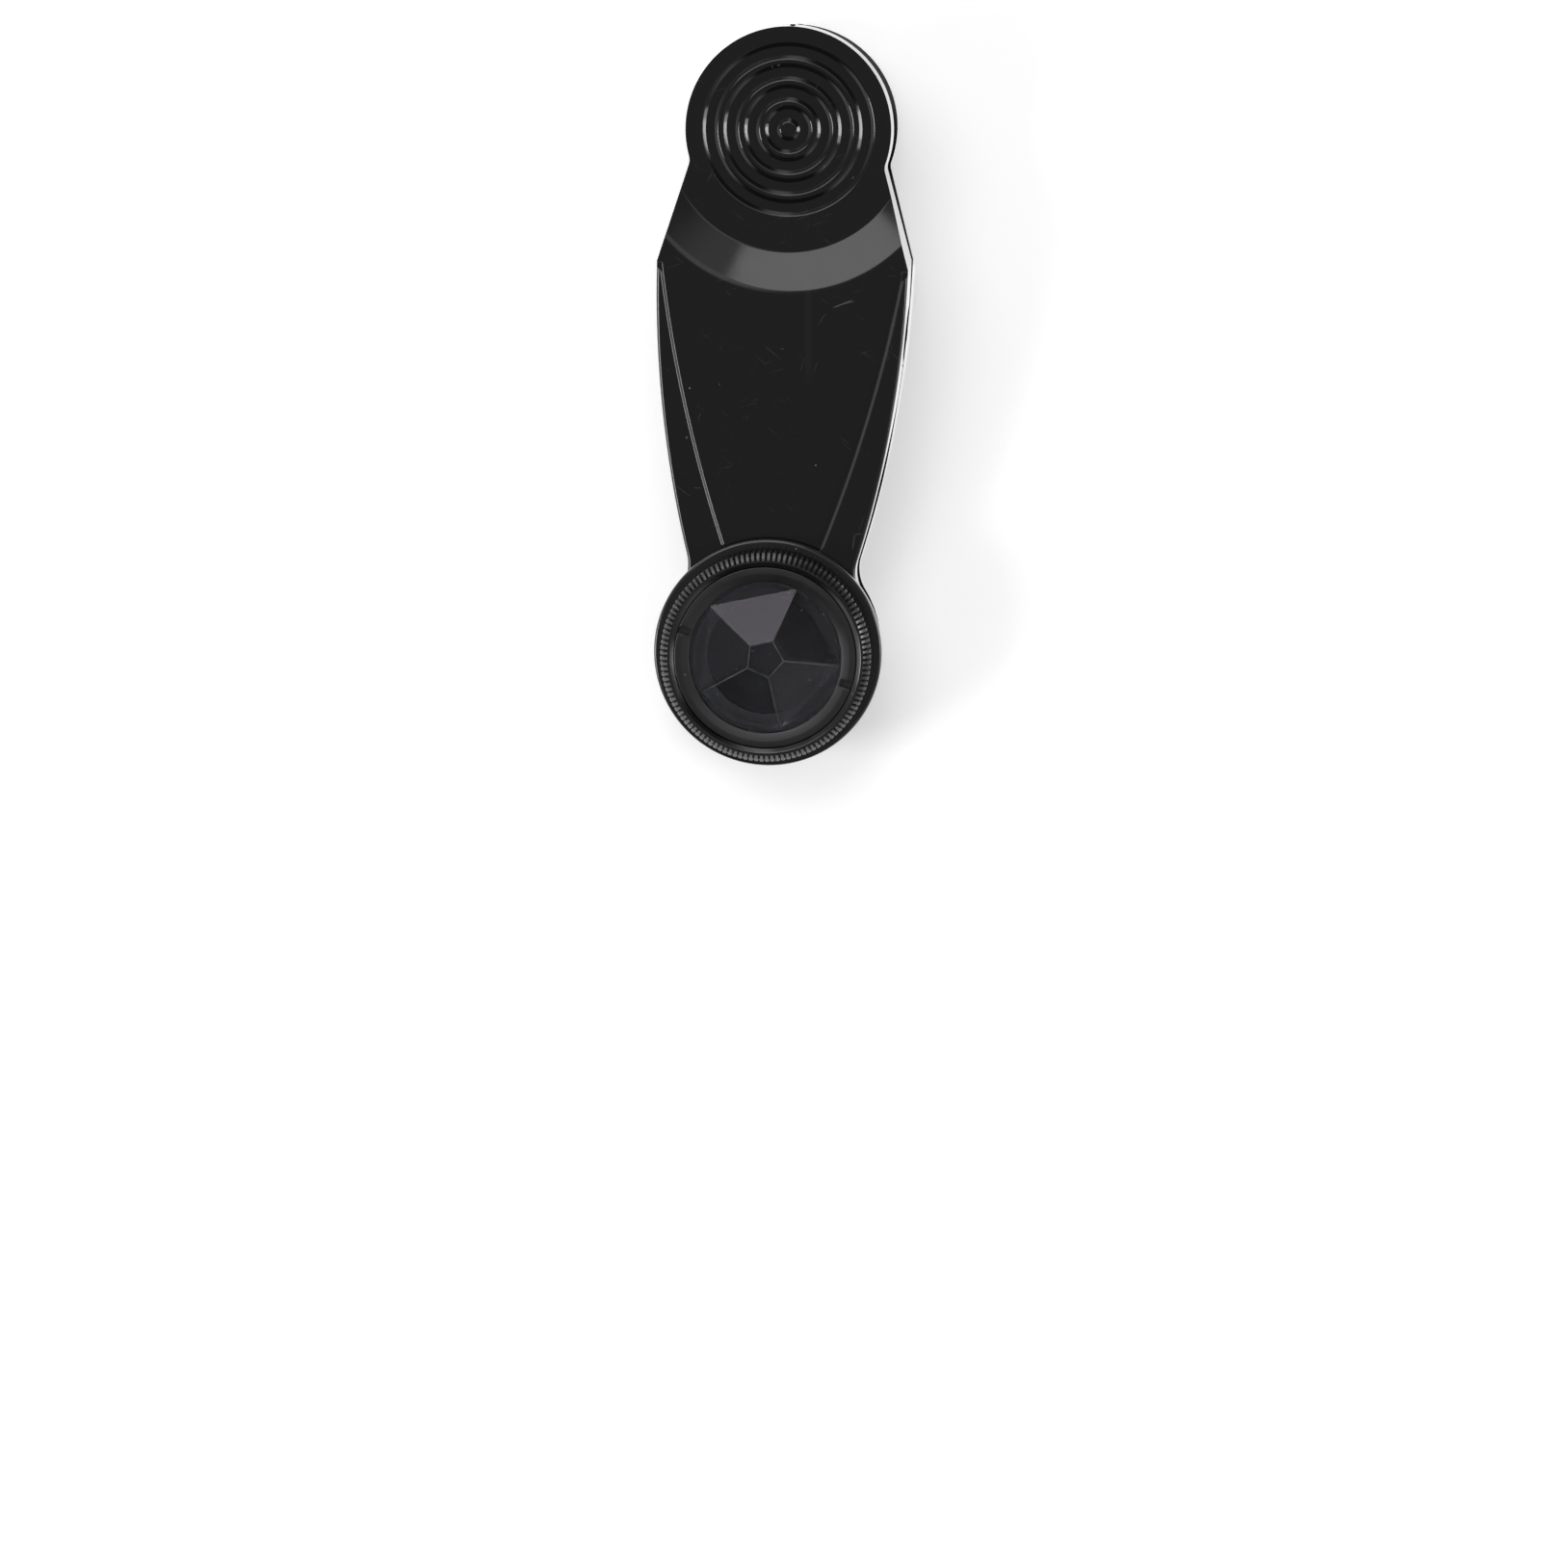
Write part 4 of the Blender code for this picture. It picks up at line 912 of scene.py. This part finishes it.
def lens_base_section():
    groove = hub_radius - 2 * RING_WIRE_RADIUS
    corners = [
        (APERTURE_RADIUS, hub_top, TURNED_EDGE),
        (hub_radius, hub_top, TURNED_EDGE),
        (hub_radius, ring_level + RING_GROOVE_HALF, 0.0),
        (groove, ring_level + RING_GROOVE_HALF, 0.0),
        (groove, ring_level - RING_GROOVE_HALF, 0.0),
        (hub_radius, ring_level - RING_GROOVE_HALF, 0.0),
        (hub_radius, flange_top, TURNED_EDGE),
        (FLANGE_RADIUS, flange_top, FLANGE_ROUND),
        (FLANGE_RADIUS, flange_bottom, FLANGE_ROUND / 2),
        (THREAD_RADIUS, flange_bottom, 0.0),
    ]
    for i in range(THREAD_TURNS):
        level = flange_bottom - THREAD_PITCH * (i + 0.25)
        corners.append((THREAD_RADIUS, level, 0.0))
        corners.append((THREAD_RADIUS - THREAD_DEPTH, level - THREAD_PITCH / 2, 0.0))
    corners.append((THREAD_RADIUS - THREAD_DEPTH, -JAW_PLATE, TURNED_EDGE / 2))
    corners.append((APERTURE_RADIUS, -JAW_PLATE, TURNED_EDGE))
    return rounded(corners)


def make_anodised(name, colour, roughness, coarse):
    """Anodised aluminium with fine turning lines round the lens axis, and pale nicks from handling."""
    material, tree, shader, place = new_material(name)
    centred = add_node(tree, "ShaderNodeMapping", {"vector_type": "TEXTURE"}, {
        "Vector": place,
        "Location": LENS_SEAT,
        "Rotation": (LEAN, 0.0, 0.0),
        "Scale": (MM, MM, MM),
    })
    split = add_node(tree, "ShaderNodeSeparateXYZ", {}, {0: centred.outputs[0]})
    flat = add_node(tree, "ShaderNodeCombineXYZ", {}, {0: split.outputs[0], 1: split.outputs[1]})
    radius = add_node(tree, "ShaderNodeVectorMath", {"operation": "LENGTH"}, {0: flat.outputs[0]})
    rings = add_node(tree, "ShaderNodeCombineXYZ", {}, {0: radius.outputs["Value"], 1: split.outputs[2]})
    lines = add_noise(tree, rings.outputs[0], coarse, 3.0)
    nicks = use_group(tree, specks, {"Vector": place, "Scale": 700.0, "Size": 0.06})
    grease = use_group(tree, cloud, {"Vector": place, "Scale": 200.0})
    set_colour(tree, shader, nicks, colour, (0.16, 0.16, 0.16))
    set_roughness(tree, shader, roughness, (grease, 0.08), (lines, 0.1))
    set_bump(tree, shader, lines, 0.004 * MM)
    shader.inputs["IOR"].default_value = 1.65
    return material


base = lathe("lens_base_turned", lens_base_section(), steps=192)
settle(base, LENS_PLACE)
smooth(base)
lens_metal = make_anodised("lens_metal", (0.005, 0.005, 0.0054), 0.12, 9.0)
base.data.materials.append(lens_metal)
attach(base, "lens_mount")
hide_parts("lens_base")

# Slip washer and snap ring.
# A thin slippery washer gives the bezel its light drag, and a split wire ring in the hub's groove keeps
# the bezel on. Both are hidden in use and keep their plain solids.
washer = frame["nodes"]["slip_washer"]
washer.data.materials.clear()


def make_washer_plastic():
    material, tree, shader, place = new_material("washer_plastic")
    stains = use_group(tree, cloud, {"Vector": place, "Scale": 400.0})
    set_colour(tree, shader, stains, (0.6, 0.6, 0.58), (0.5, 0.49, 0.45))
    set_roughness(tree, shader, 0.4, (stains, 0.15))
    return material


washer.data.materials.append(make_washer_plastic())
snap_ring = frame["nodes"]["bezel_snap_ring"]
snap_ring.data.materials.clear()
snap_ring.data.materials.append(spring_steel)

# Knurled bezel.
# The black anodised ring that fingers turn, with about a hundred and twenty straight teeth that run out
# on its bevelled edge. It holds the glass between a ledge and the retaining ring.
BEZEL_BOTTOM_BEVEL = 0.3 * MM
BEZEL_TOP_BEVEL = 0.78 * MM
BEZEL_TOP_DROP = 0.73 * MM
BEZEL_MOUTH_WALL = 1.5 * MM
BEZEL_TOP_EDGE = 0.12 * MM
BEZEL_BOTTOM_EDGE = 0.08 * MM
MOUTH_BEVEL = 0.45 * MM
MOUTH_DEPTH = 0.3 * MM
LEDGE = 0.4 * MM
KNURL_TEETH = 120
KNURL_DEPTH = 0.3 * MM
KNURL_MARGIN = 0.02 * MM
GASKET = 0.15 * MM
GLASS_RIM = 0.5 * MM
RETAINER = 0.6 * MM
bore_radius = BEZEL_RADIUS - BEZEL_MOUTH_WALL
ledge_bottom = hub_top + SEAT_GAP
ledge_top = ledge_bottom + LEDGE
glass_bottom = ledge_top + SEAT_GAP + GASKET
glass_rim_top = glass_bottom + GLASS_RIM
retainer_bottom = glass_rim_top + SEAT_GAP / 2
retainer_top = retainer_bottom + RETAINER
bezel_top = retainer_top + MOUTH_DEPTH


def bezel_section():
    ledge_radius = sleeve_radius - LEDGE_WIDTH
    groove = sleeve_radius + RING_WIRE_RADIUS
    return rounded([
        (bore_radius, retainer_top, 0.0),
        (bore_radius + MOUTH_BEVEL, bezel_top, 0.15 * MM),
        (BEZEL_RADIUS - BEZEL_TOP_BEVEL, bezel_top, BEZEL_TOP_EDGE),
        (BEZEL_RADIUS, bezel_top - BEZEL_TOP_DROP, BEZEL_TOP_EDGE),
        (BEZEL_RADIUS, bezel_bottom + BEZEL_BOTTOM_BEVEL, BEZEL_BOTTOM_EDGE),
        (BEZEL_RADIUS - BEZEL_BOTTOM_BEVEL, bezel_bottom, BEZEL_BOTTOM_EDGE),
        (sleeve_radius, bezel_bottom, 0.0),
        (sleeve_radius, ring_level - RING_GROOVE_HALF, 0.0),
        (groove, ring_level - RING_GROOVE_HALF, 0.0),
        (groove, ring_level + RING_GROOVE_HALF, 0.0),
        (sleeve_radius, ring_level + RING_GROOVE_HALF, 0.0),
        (sleeve_radius, ledge_bottom, 0.0),
        (ledge_radius, ledge_bottom, 0.0),
        (ledge_radius, ledge_top, 0.05 * MM),
        (bore_radius, ledge_top, 0.0),
    ], steps=3)


def cut_knurl(piece):
    """Presses every fourth column to a root: inwards on the wall, and more downwards up the bevel."""
    columns = 4 * KNURL_TEETH
    bevel_start = BEZEL_RADIUS - BEZEL_TOP_BEVEL - KNURL_MARGIN
    for vert in piece.data.vertices:
        column = round(math.atan2(vert.co.y, vert.co.x) * columns / (2 * math.pi)) % 4
        radius = math.hypot(vert.co.x, vert.co.y)
        if column != 2 or radius < bevel_start:
            continue
        outward = min(1.0, (radius - bevel_start) / BEZEL_TOP_BEVEL)
        if vert.co.z < ring_level:
            outward = 1.0
        pressed = radius - KNURL_DEPTH * outward
        vert.co.x *= pressed / radius
        vert.co.y *= pressed / radius
        vert.co.z -= KNURL_DEPTH * (1.0 - outward)


bezel = lathe("knurled_bezel_turned", bezel_section(), steps=4 * KNURL_TEETH)
cut_knurl(bezel)
settle(bezel, LENS_PLACE)
smooth(bezel)
bezel.data.materials.append(lens_metal)
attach(bezel, "bezel")
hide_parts("knurled_bezel")

# Glass gasket.
# A thin rubber ring that beds the glass on the bezel's ledge. It keeps its plain solid.
gasket = frame["nodes"]["glass_gasket"]
gasket.data.materials.clear()
gasket.data.materials.append(rubber)

# Prism glass.
# One clear pressed glass with a flat back, ground on its face to a centre pentagon and five facets,
# whose edges are very slightly broken.
GLASS_FIT = 0.25 * MM
RETAINER_FIT = 0.1 * MM
RETAINER_WIDTH = 1.6 * MM
PRISM_FROM_RETAINER = 0.1 * MM
PRISM_TOP_RADIUS = 2.14 * MM
PRISM_RISE = 1.5 * MM
PRISM_SIDES = 5
PRISM_TURN = math.radians(-22.3)
FACET_EDGE = 0.09 * MM
retainer_outer = bore_radius - RETAINER_FIT
retainer_inner = retainer_outer - RETAINER_WIDTH
prism_radius = retainer_inner - PRISM_FROM_RETAINER


def grind_glass():
    glass_radius = bore_radius - GLASS_FIT
    finishes = make_glass(), make_ground_edge()
    glass = lathe("prism_glass_ground", [
        (0.0, glass_rim_top),
        (glass_radius, glass_rim_top),
        (glass_radius, glass_bottom),
        (0.0, glass_bottom),
    ], steps=128)
    sink = GLASS_RIM / 2
    spread = (prism_radius - PRISM_TOP_RADIUS) / PRISM_RISE * sink
    bpy.ops.mesh.primitive_cone_add(
        vertices=PRISM_SIDES,
        radius1=prism_radius + spread,
        radius2=PRISM_TOP_RADIUS,
        depth=PRISM_RISE + sink,
        location=(0.0, 0.0, glass_rim_top + (PRISM_RISE - sink) / 2),
        rotation=(0.0, 0.0, PRISM_TURN),
    )
    facets = bpy.context.object
    for piece in (glass, facets):
        for finish in finishes:
            piece.data.materials.append(finish)
    bpy.ops.object.transform_apply(location=True, rotation=True, scale=True)
    apply_step(
        facets,
        "BEVEL",
        width=FACET_EDGE,
        segments=3,
        limit_method="ANGLE",
        angle_limit=math.radians(10),
        material=1,
    )
    bpy.ops.mesh.primitive_cylinder_add(
        vertices=128,
        radius=prism_radius,
        depth=2 * PRISM_RISE,
        location=(0.0, 0.0, glass_rim_top + PRISM_RISE - sink / 2),
    )
    carve(facets, bpy.context.object, "INTERSECT")
    carve(glass, facets, "UNION")
    return glass


def make_glass():
    """Clear glass with a faint grease haze and a few dust grains."""
    material, tree, shader, place = new_material("prism_glass")
    haze = use_group(tree, cloud, {"Vector": place, "Scale": 320.0})
    dust = use_group(tree, specks, {"Vector": place, "Scale": 800.0, "Size": 0.05})
    set_roughness(tree, shader, 0.008, (haze, 0.035), (dust, 0.3))
    shader.inputs["Base Color"].default_value = (0.93, 0.95, 1.0, 1.0)
    shader.inputs["Transmission Weight"].default_value = 1.0
    shader.inputs["IOR"].default_value = 1.46
    shader.inputs["Specular Tint"].default_value = (0.84, 0.79, 0.88, 1.0)
    return material


def make_ground_edge():
    """The broken edges of the facets, finely ground: a little paler, and uneven along their length."""
    material, tree, shader, place = new_material("ground_glass_edge")
    uneven = use_group(tree, cloud, {"Vector": place, "Scale": 900.0})
    set_colour(tree, shader, uneven, (0.035, 0.035, 0.036), (0.07, 0.07, 0.072))
    set_roughness(tree, shader, 0.16, (uneven, 0.1))
    shader.inputs["IOR"].default_value = 1.52
    return material


glass = grind_glass()
settle(glass, LENS_PLACE)
smooth(glass, math.radians(12))
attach(glass, "bezel")
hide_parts("prism_glass")

# Retaining ring.
# A matt dark grey threaded ring that clamps the glass, with a broad shallow bevel on its inner edge
# and two notches for a spanner.
RETAINER_BEVEL_WIDTH = 0.9 * MM
RETAINER_BEVEL_DROP = 0.16 * MM
NOTCH_LENGTH = 1.3 * MM
NOTCH_WIDTH = 0.8 * MM
NOTCH_DEPTH = 0.5 * MM
NOTCH_EDGE = 0.05 * MM
NOTCH_TURN = math.radians(-15.8)


def turn_retainer():
    ring = lathe("retaining_ring_turned", rounded([
        (retainer_inner, retainer_top - RETAINER_BEVEL_DROP, 0.06 * MM),
        (retainer_inner + RETAINER_BEVEL_WIDTH, retainer_top, 0.6 * MM),
        (retainer_outer, retainer_top, 0.08 * MM),
        (retainer_outer, retainer_bottom, 0.0),
        (retainer_inner, retainer_bottom, 0.0),
    ]))
    for turn in (NOTCH_TURN, NOTCH_TURN + math.pi):
        low = (retainer_outer - NOTCH_LENGTH, -NOTCH_WIDTH / 2, retainer_top - NOTCH_DEPTH)
        high = (retainer_outer + OVERRUN, NOTCH_WIDTH / 2, retainer_top + OVERRUN)
        notch = block("notch_tool", low, high)
        notch.rotation_euler.z = turn
        carve(ring, notch)
    apply_step(
        ring, "BEVEL", width=NOTCH_EDGE, segments=2, limit_method="ANGLE", angle_limit=math.radians(60)
    )
    return ring


retainer = turn_retainer()
settle(retainer, LENS_PLACE)
smooth(retainer)
retainer.data.materials.append(make_anodised("ring_metal", (0.006, 0.0058, 0.0062), 0.26, 9.0))
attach(retainer, "bezel")
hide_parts("retaining_ring")

# Studio.
# The clip lies on a white table under a soft box at the upper left, with low lamps to the right, to the
# left and beyond the thumb end. Two of them have a dimmer fringe, so that their glints fade at the ends.
# The room is dim above and pale round the horizon.
TABLE_SIZE = 6.0
TABLE_DROP = 0.05 * MM
WHITE = (1.0, 1.0, 1.0, 1.0)
bpy.ops.mesh.primitive_plane_add(size=TABLE_SIZE, location=(0.0, 0.0, -TABLE_DROP))
floor = bpy.context.object
floor.name = "floor"


def make_floor():
    """White card. It glows a little to the eye, in reflections and through glass, and takes shadows; its
    glow in reflections is painted shade, dimmer towards the near end.
    """
    material, tree, shader, place = new_material("floor")
    card = use_group(tree, cloud, {"Vector": place, "Scale": 3.0})
    set_colour(tree, shader, card, (0.9, 0.9, 0.9), (0.88, 0.88, 0.88))
    shader.inputs["Roughness"].default_value = 0.9
    shader.inputs["Specular IOR Level"].default_value = 0.0
    path = tree.nodes.new("ShaderNodeLightPath")
    seen = calculate(tree, "MAXIMUM", path.outputs["Is Camera Ray"], path.outputs["Is Transmission Ray"])
    split = add_node(tree, "ShaderNodeSeparateXYZ", {}, {0: place})
    # Painted shade in reflections: the glow that glossy rays see drops to a tenth towards the near end
    # (-Y)
    glow_painted_dim_near_end = remap(tree, split.outputs[1], -0.5, -0.12, 0.1, 1.0)
    mirrored_glow_with_painted_shade = calculate(tree, "MULTIPLY", path.outputs["Is Glossy Ray"], glow_painted_dim_near_end)
    glow = calculate(tree, "ADD", calculate(tree, "MULTIPLY", seen, 0.4), mirrored_glow_with_painted_shade)
    shader.inputs["Emission Color"].default_value = WHITE
    tree.links.new(glow, shader.inputs["Emission Strength"])
    return material


floor.data.materials.append(make_floor())


def towards(azimuth, elevation):
    """The direction of a place in the room, in degrees round from +X and up from the table."""
    flat = math.cos(math.radians(elevation))
    return Vector((
        flat * math.cos(math.radians(azimuth)),
        flat * math.sin(math.radians(azimuth)),
        math.sin(math.radians(elevation)),
    ))


HORIZON_STRENGTH = 1.0
OVERHEAD_STRENGTH = 0.22
LEAST_STRENGTH = 0.02
# Brighter and darker parts of the room: azimuth, elevation, outer and inner radius in degrees, and change
ROOM_PATCHES = [
    (50.0, 76.0, 15.0, 5.0, 0.9),
    (46.0, 22.0, 32.0, 16.0, -0.3),
    (90.0, 39.0, 14.0, 6.0, 1.0),
    (-50.0, 50.0, 24.0, 10.0, 0.25),
    (-15.0, 0.0, 26.0, 12.0, -0.6),
    (-113.0, 40.0, 30.0, 14.0, -0.24),
    (-95.0, 4.0, 44.0, 26.0, -1.0),
]


def make_room():
    """Pale near the horizon and dim overhead, with a soft glow in places and a dark near end."""
    world = bpy.data.worlds.new("room")
    world.use_nodes = True
    tree = world.node_tree
    way = tree.nodes.new("ShaderNodeTexCoord").outputs["Generated"]
    split = add_node(tree, "ShaderNodeSeparateXYZ", {}, {0: way})
    strength = remap(tree, split.outputs[2], 0.2, 0.4, HORIZON_STRENGTH, OVERHEAD_STRENGTH)
    for azimuth, elevation, wide, narrow, change in ROOM_PATCHES:
        inputs = {0: way, 1: towards(azimuth, elevation)}
        near = add_node(tree, "ShaderNodeVectorMath", {"operation": "DOT_PRODUCT"}, inputs)
        edges = math.cos(math.radians(wide)), math.cos(math.radians(narrow))
        patch = remap(tree, near.outputs["Value"], *edges, 0.0, change)
        strength = calculate(tree, "ADD", strength, patch)
    background = tree.nodes["Background"]
    tree.links.new(calculate(tree, "MAXIMUM", strength, LEAST_STRENGTH), background.inputs["Strength"])
    background.inputs["Color"].default_value = WHITE
    bpy.context.scene.world = world


LAMP_DISTANCE = 0.9
# The lamps: name, azimuth, elevation, width, height and brightness per area
LAMPS = [
    ("soft_box", 122.0, 62.0, 0.62, 0.42, 2.6),
    ("right_lamp", 0.5, 22.0, 0.34, 0.16, 7.0),
    ("right_lamp_fringe", -1.5, 22.0, 0.54, 0.16, 4.5),
    ("left_lamp", 199.0, 36.0, 0.285, 0.23, 14.0),
    ("far_lamp", 112.0, 22.0, 0.98, 0.09, 2.2),
    ("far_lamp_fringe", 110.0, 22.0, 1.25, 0.09, 1.5),
]


def add_lamp(name, azimuth, elevation, width, height, radiance):
    """A rectangular lamp that faces the clip, with its width level."""
    place = towards(azimuth, elevation) * LAMP_DISTANCE
    bpy.ops.object.light_add(type="AREA", location=place)
    lamp = bpy.context.object
    lamp.name = name
    lamp.rotation_euler = place.to_track_quat("Z", "Y").to_euler()
    lamp.data.shape = "RECTANGLE"
    lamp.data.size = width
    lamp.data.size_y = height
    lamp.data.energy = radiance * math.pi * width * height


make_room()
for lamp in LAMPS:
    add_lamp(*lamp)

# Camera.
# It looks almost straight down from far away, a little from the right, with the clip in the upper part
# of the frame and its thumb end leaning to the right.
SCALE = 0.1069 * MM
FRAME_PIXELS = 1628
CAMERA_DISTANCE = 0.9
SENSOR_WIDTH = 36.0
CAMERA_RIGHT = math.radians(3.8)
CAMERA_UP = math.radians(1.5)
CAMERA_ROLL = math.radians(2.6)
AIM = Vector((2.35 * MM, -43.35 * MM, 8.0 * MM))


def place_camera():
    back = Vector((math.tan(CAMERA_RIGHT), math.tan(CAMERA_UP), 1.0)).normalized()
    up = Vector((-math.sin(CAMERA_ROLL), math.cos(CAMERA_ROLL), 0.0))
    across = up.cross(back).normalized()
    up = back.cross(across)
    data = bpy.data.cameras.new("camera")
    data.sensor_width = SENSOR_WIDTH
    data.lens = SENSOR_WIDTH * CAMERA_DISTANCE / (SCALE * FRAME_PIXELS)
    data.clip_start = 0.01
    data.clip_end = 20.0
    camera = bpy.data.objects.new("camera", data)
    bpy.context.scene.collection.objects.link(camera)
    turn = Matrix((across, up, back)).transposed().to_4x4()
    camera.matrix_world = Matrix.Translation(AIM + back * CAMERA_DISTANCE) @ turn
    bpy.context.scene.camera = camera


place_camera()
bpy.context.scene.view_settings.view_transform = "Standard"
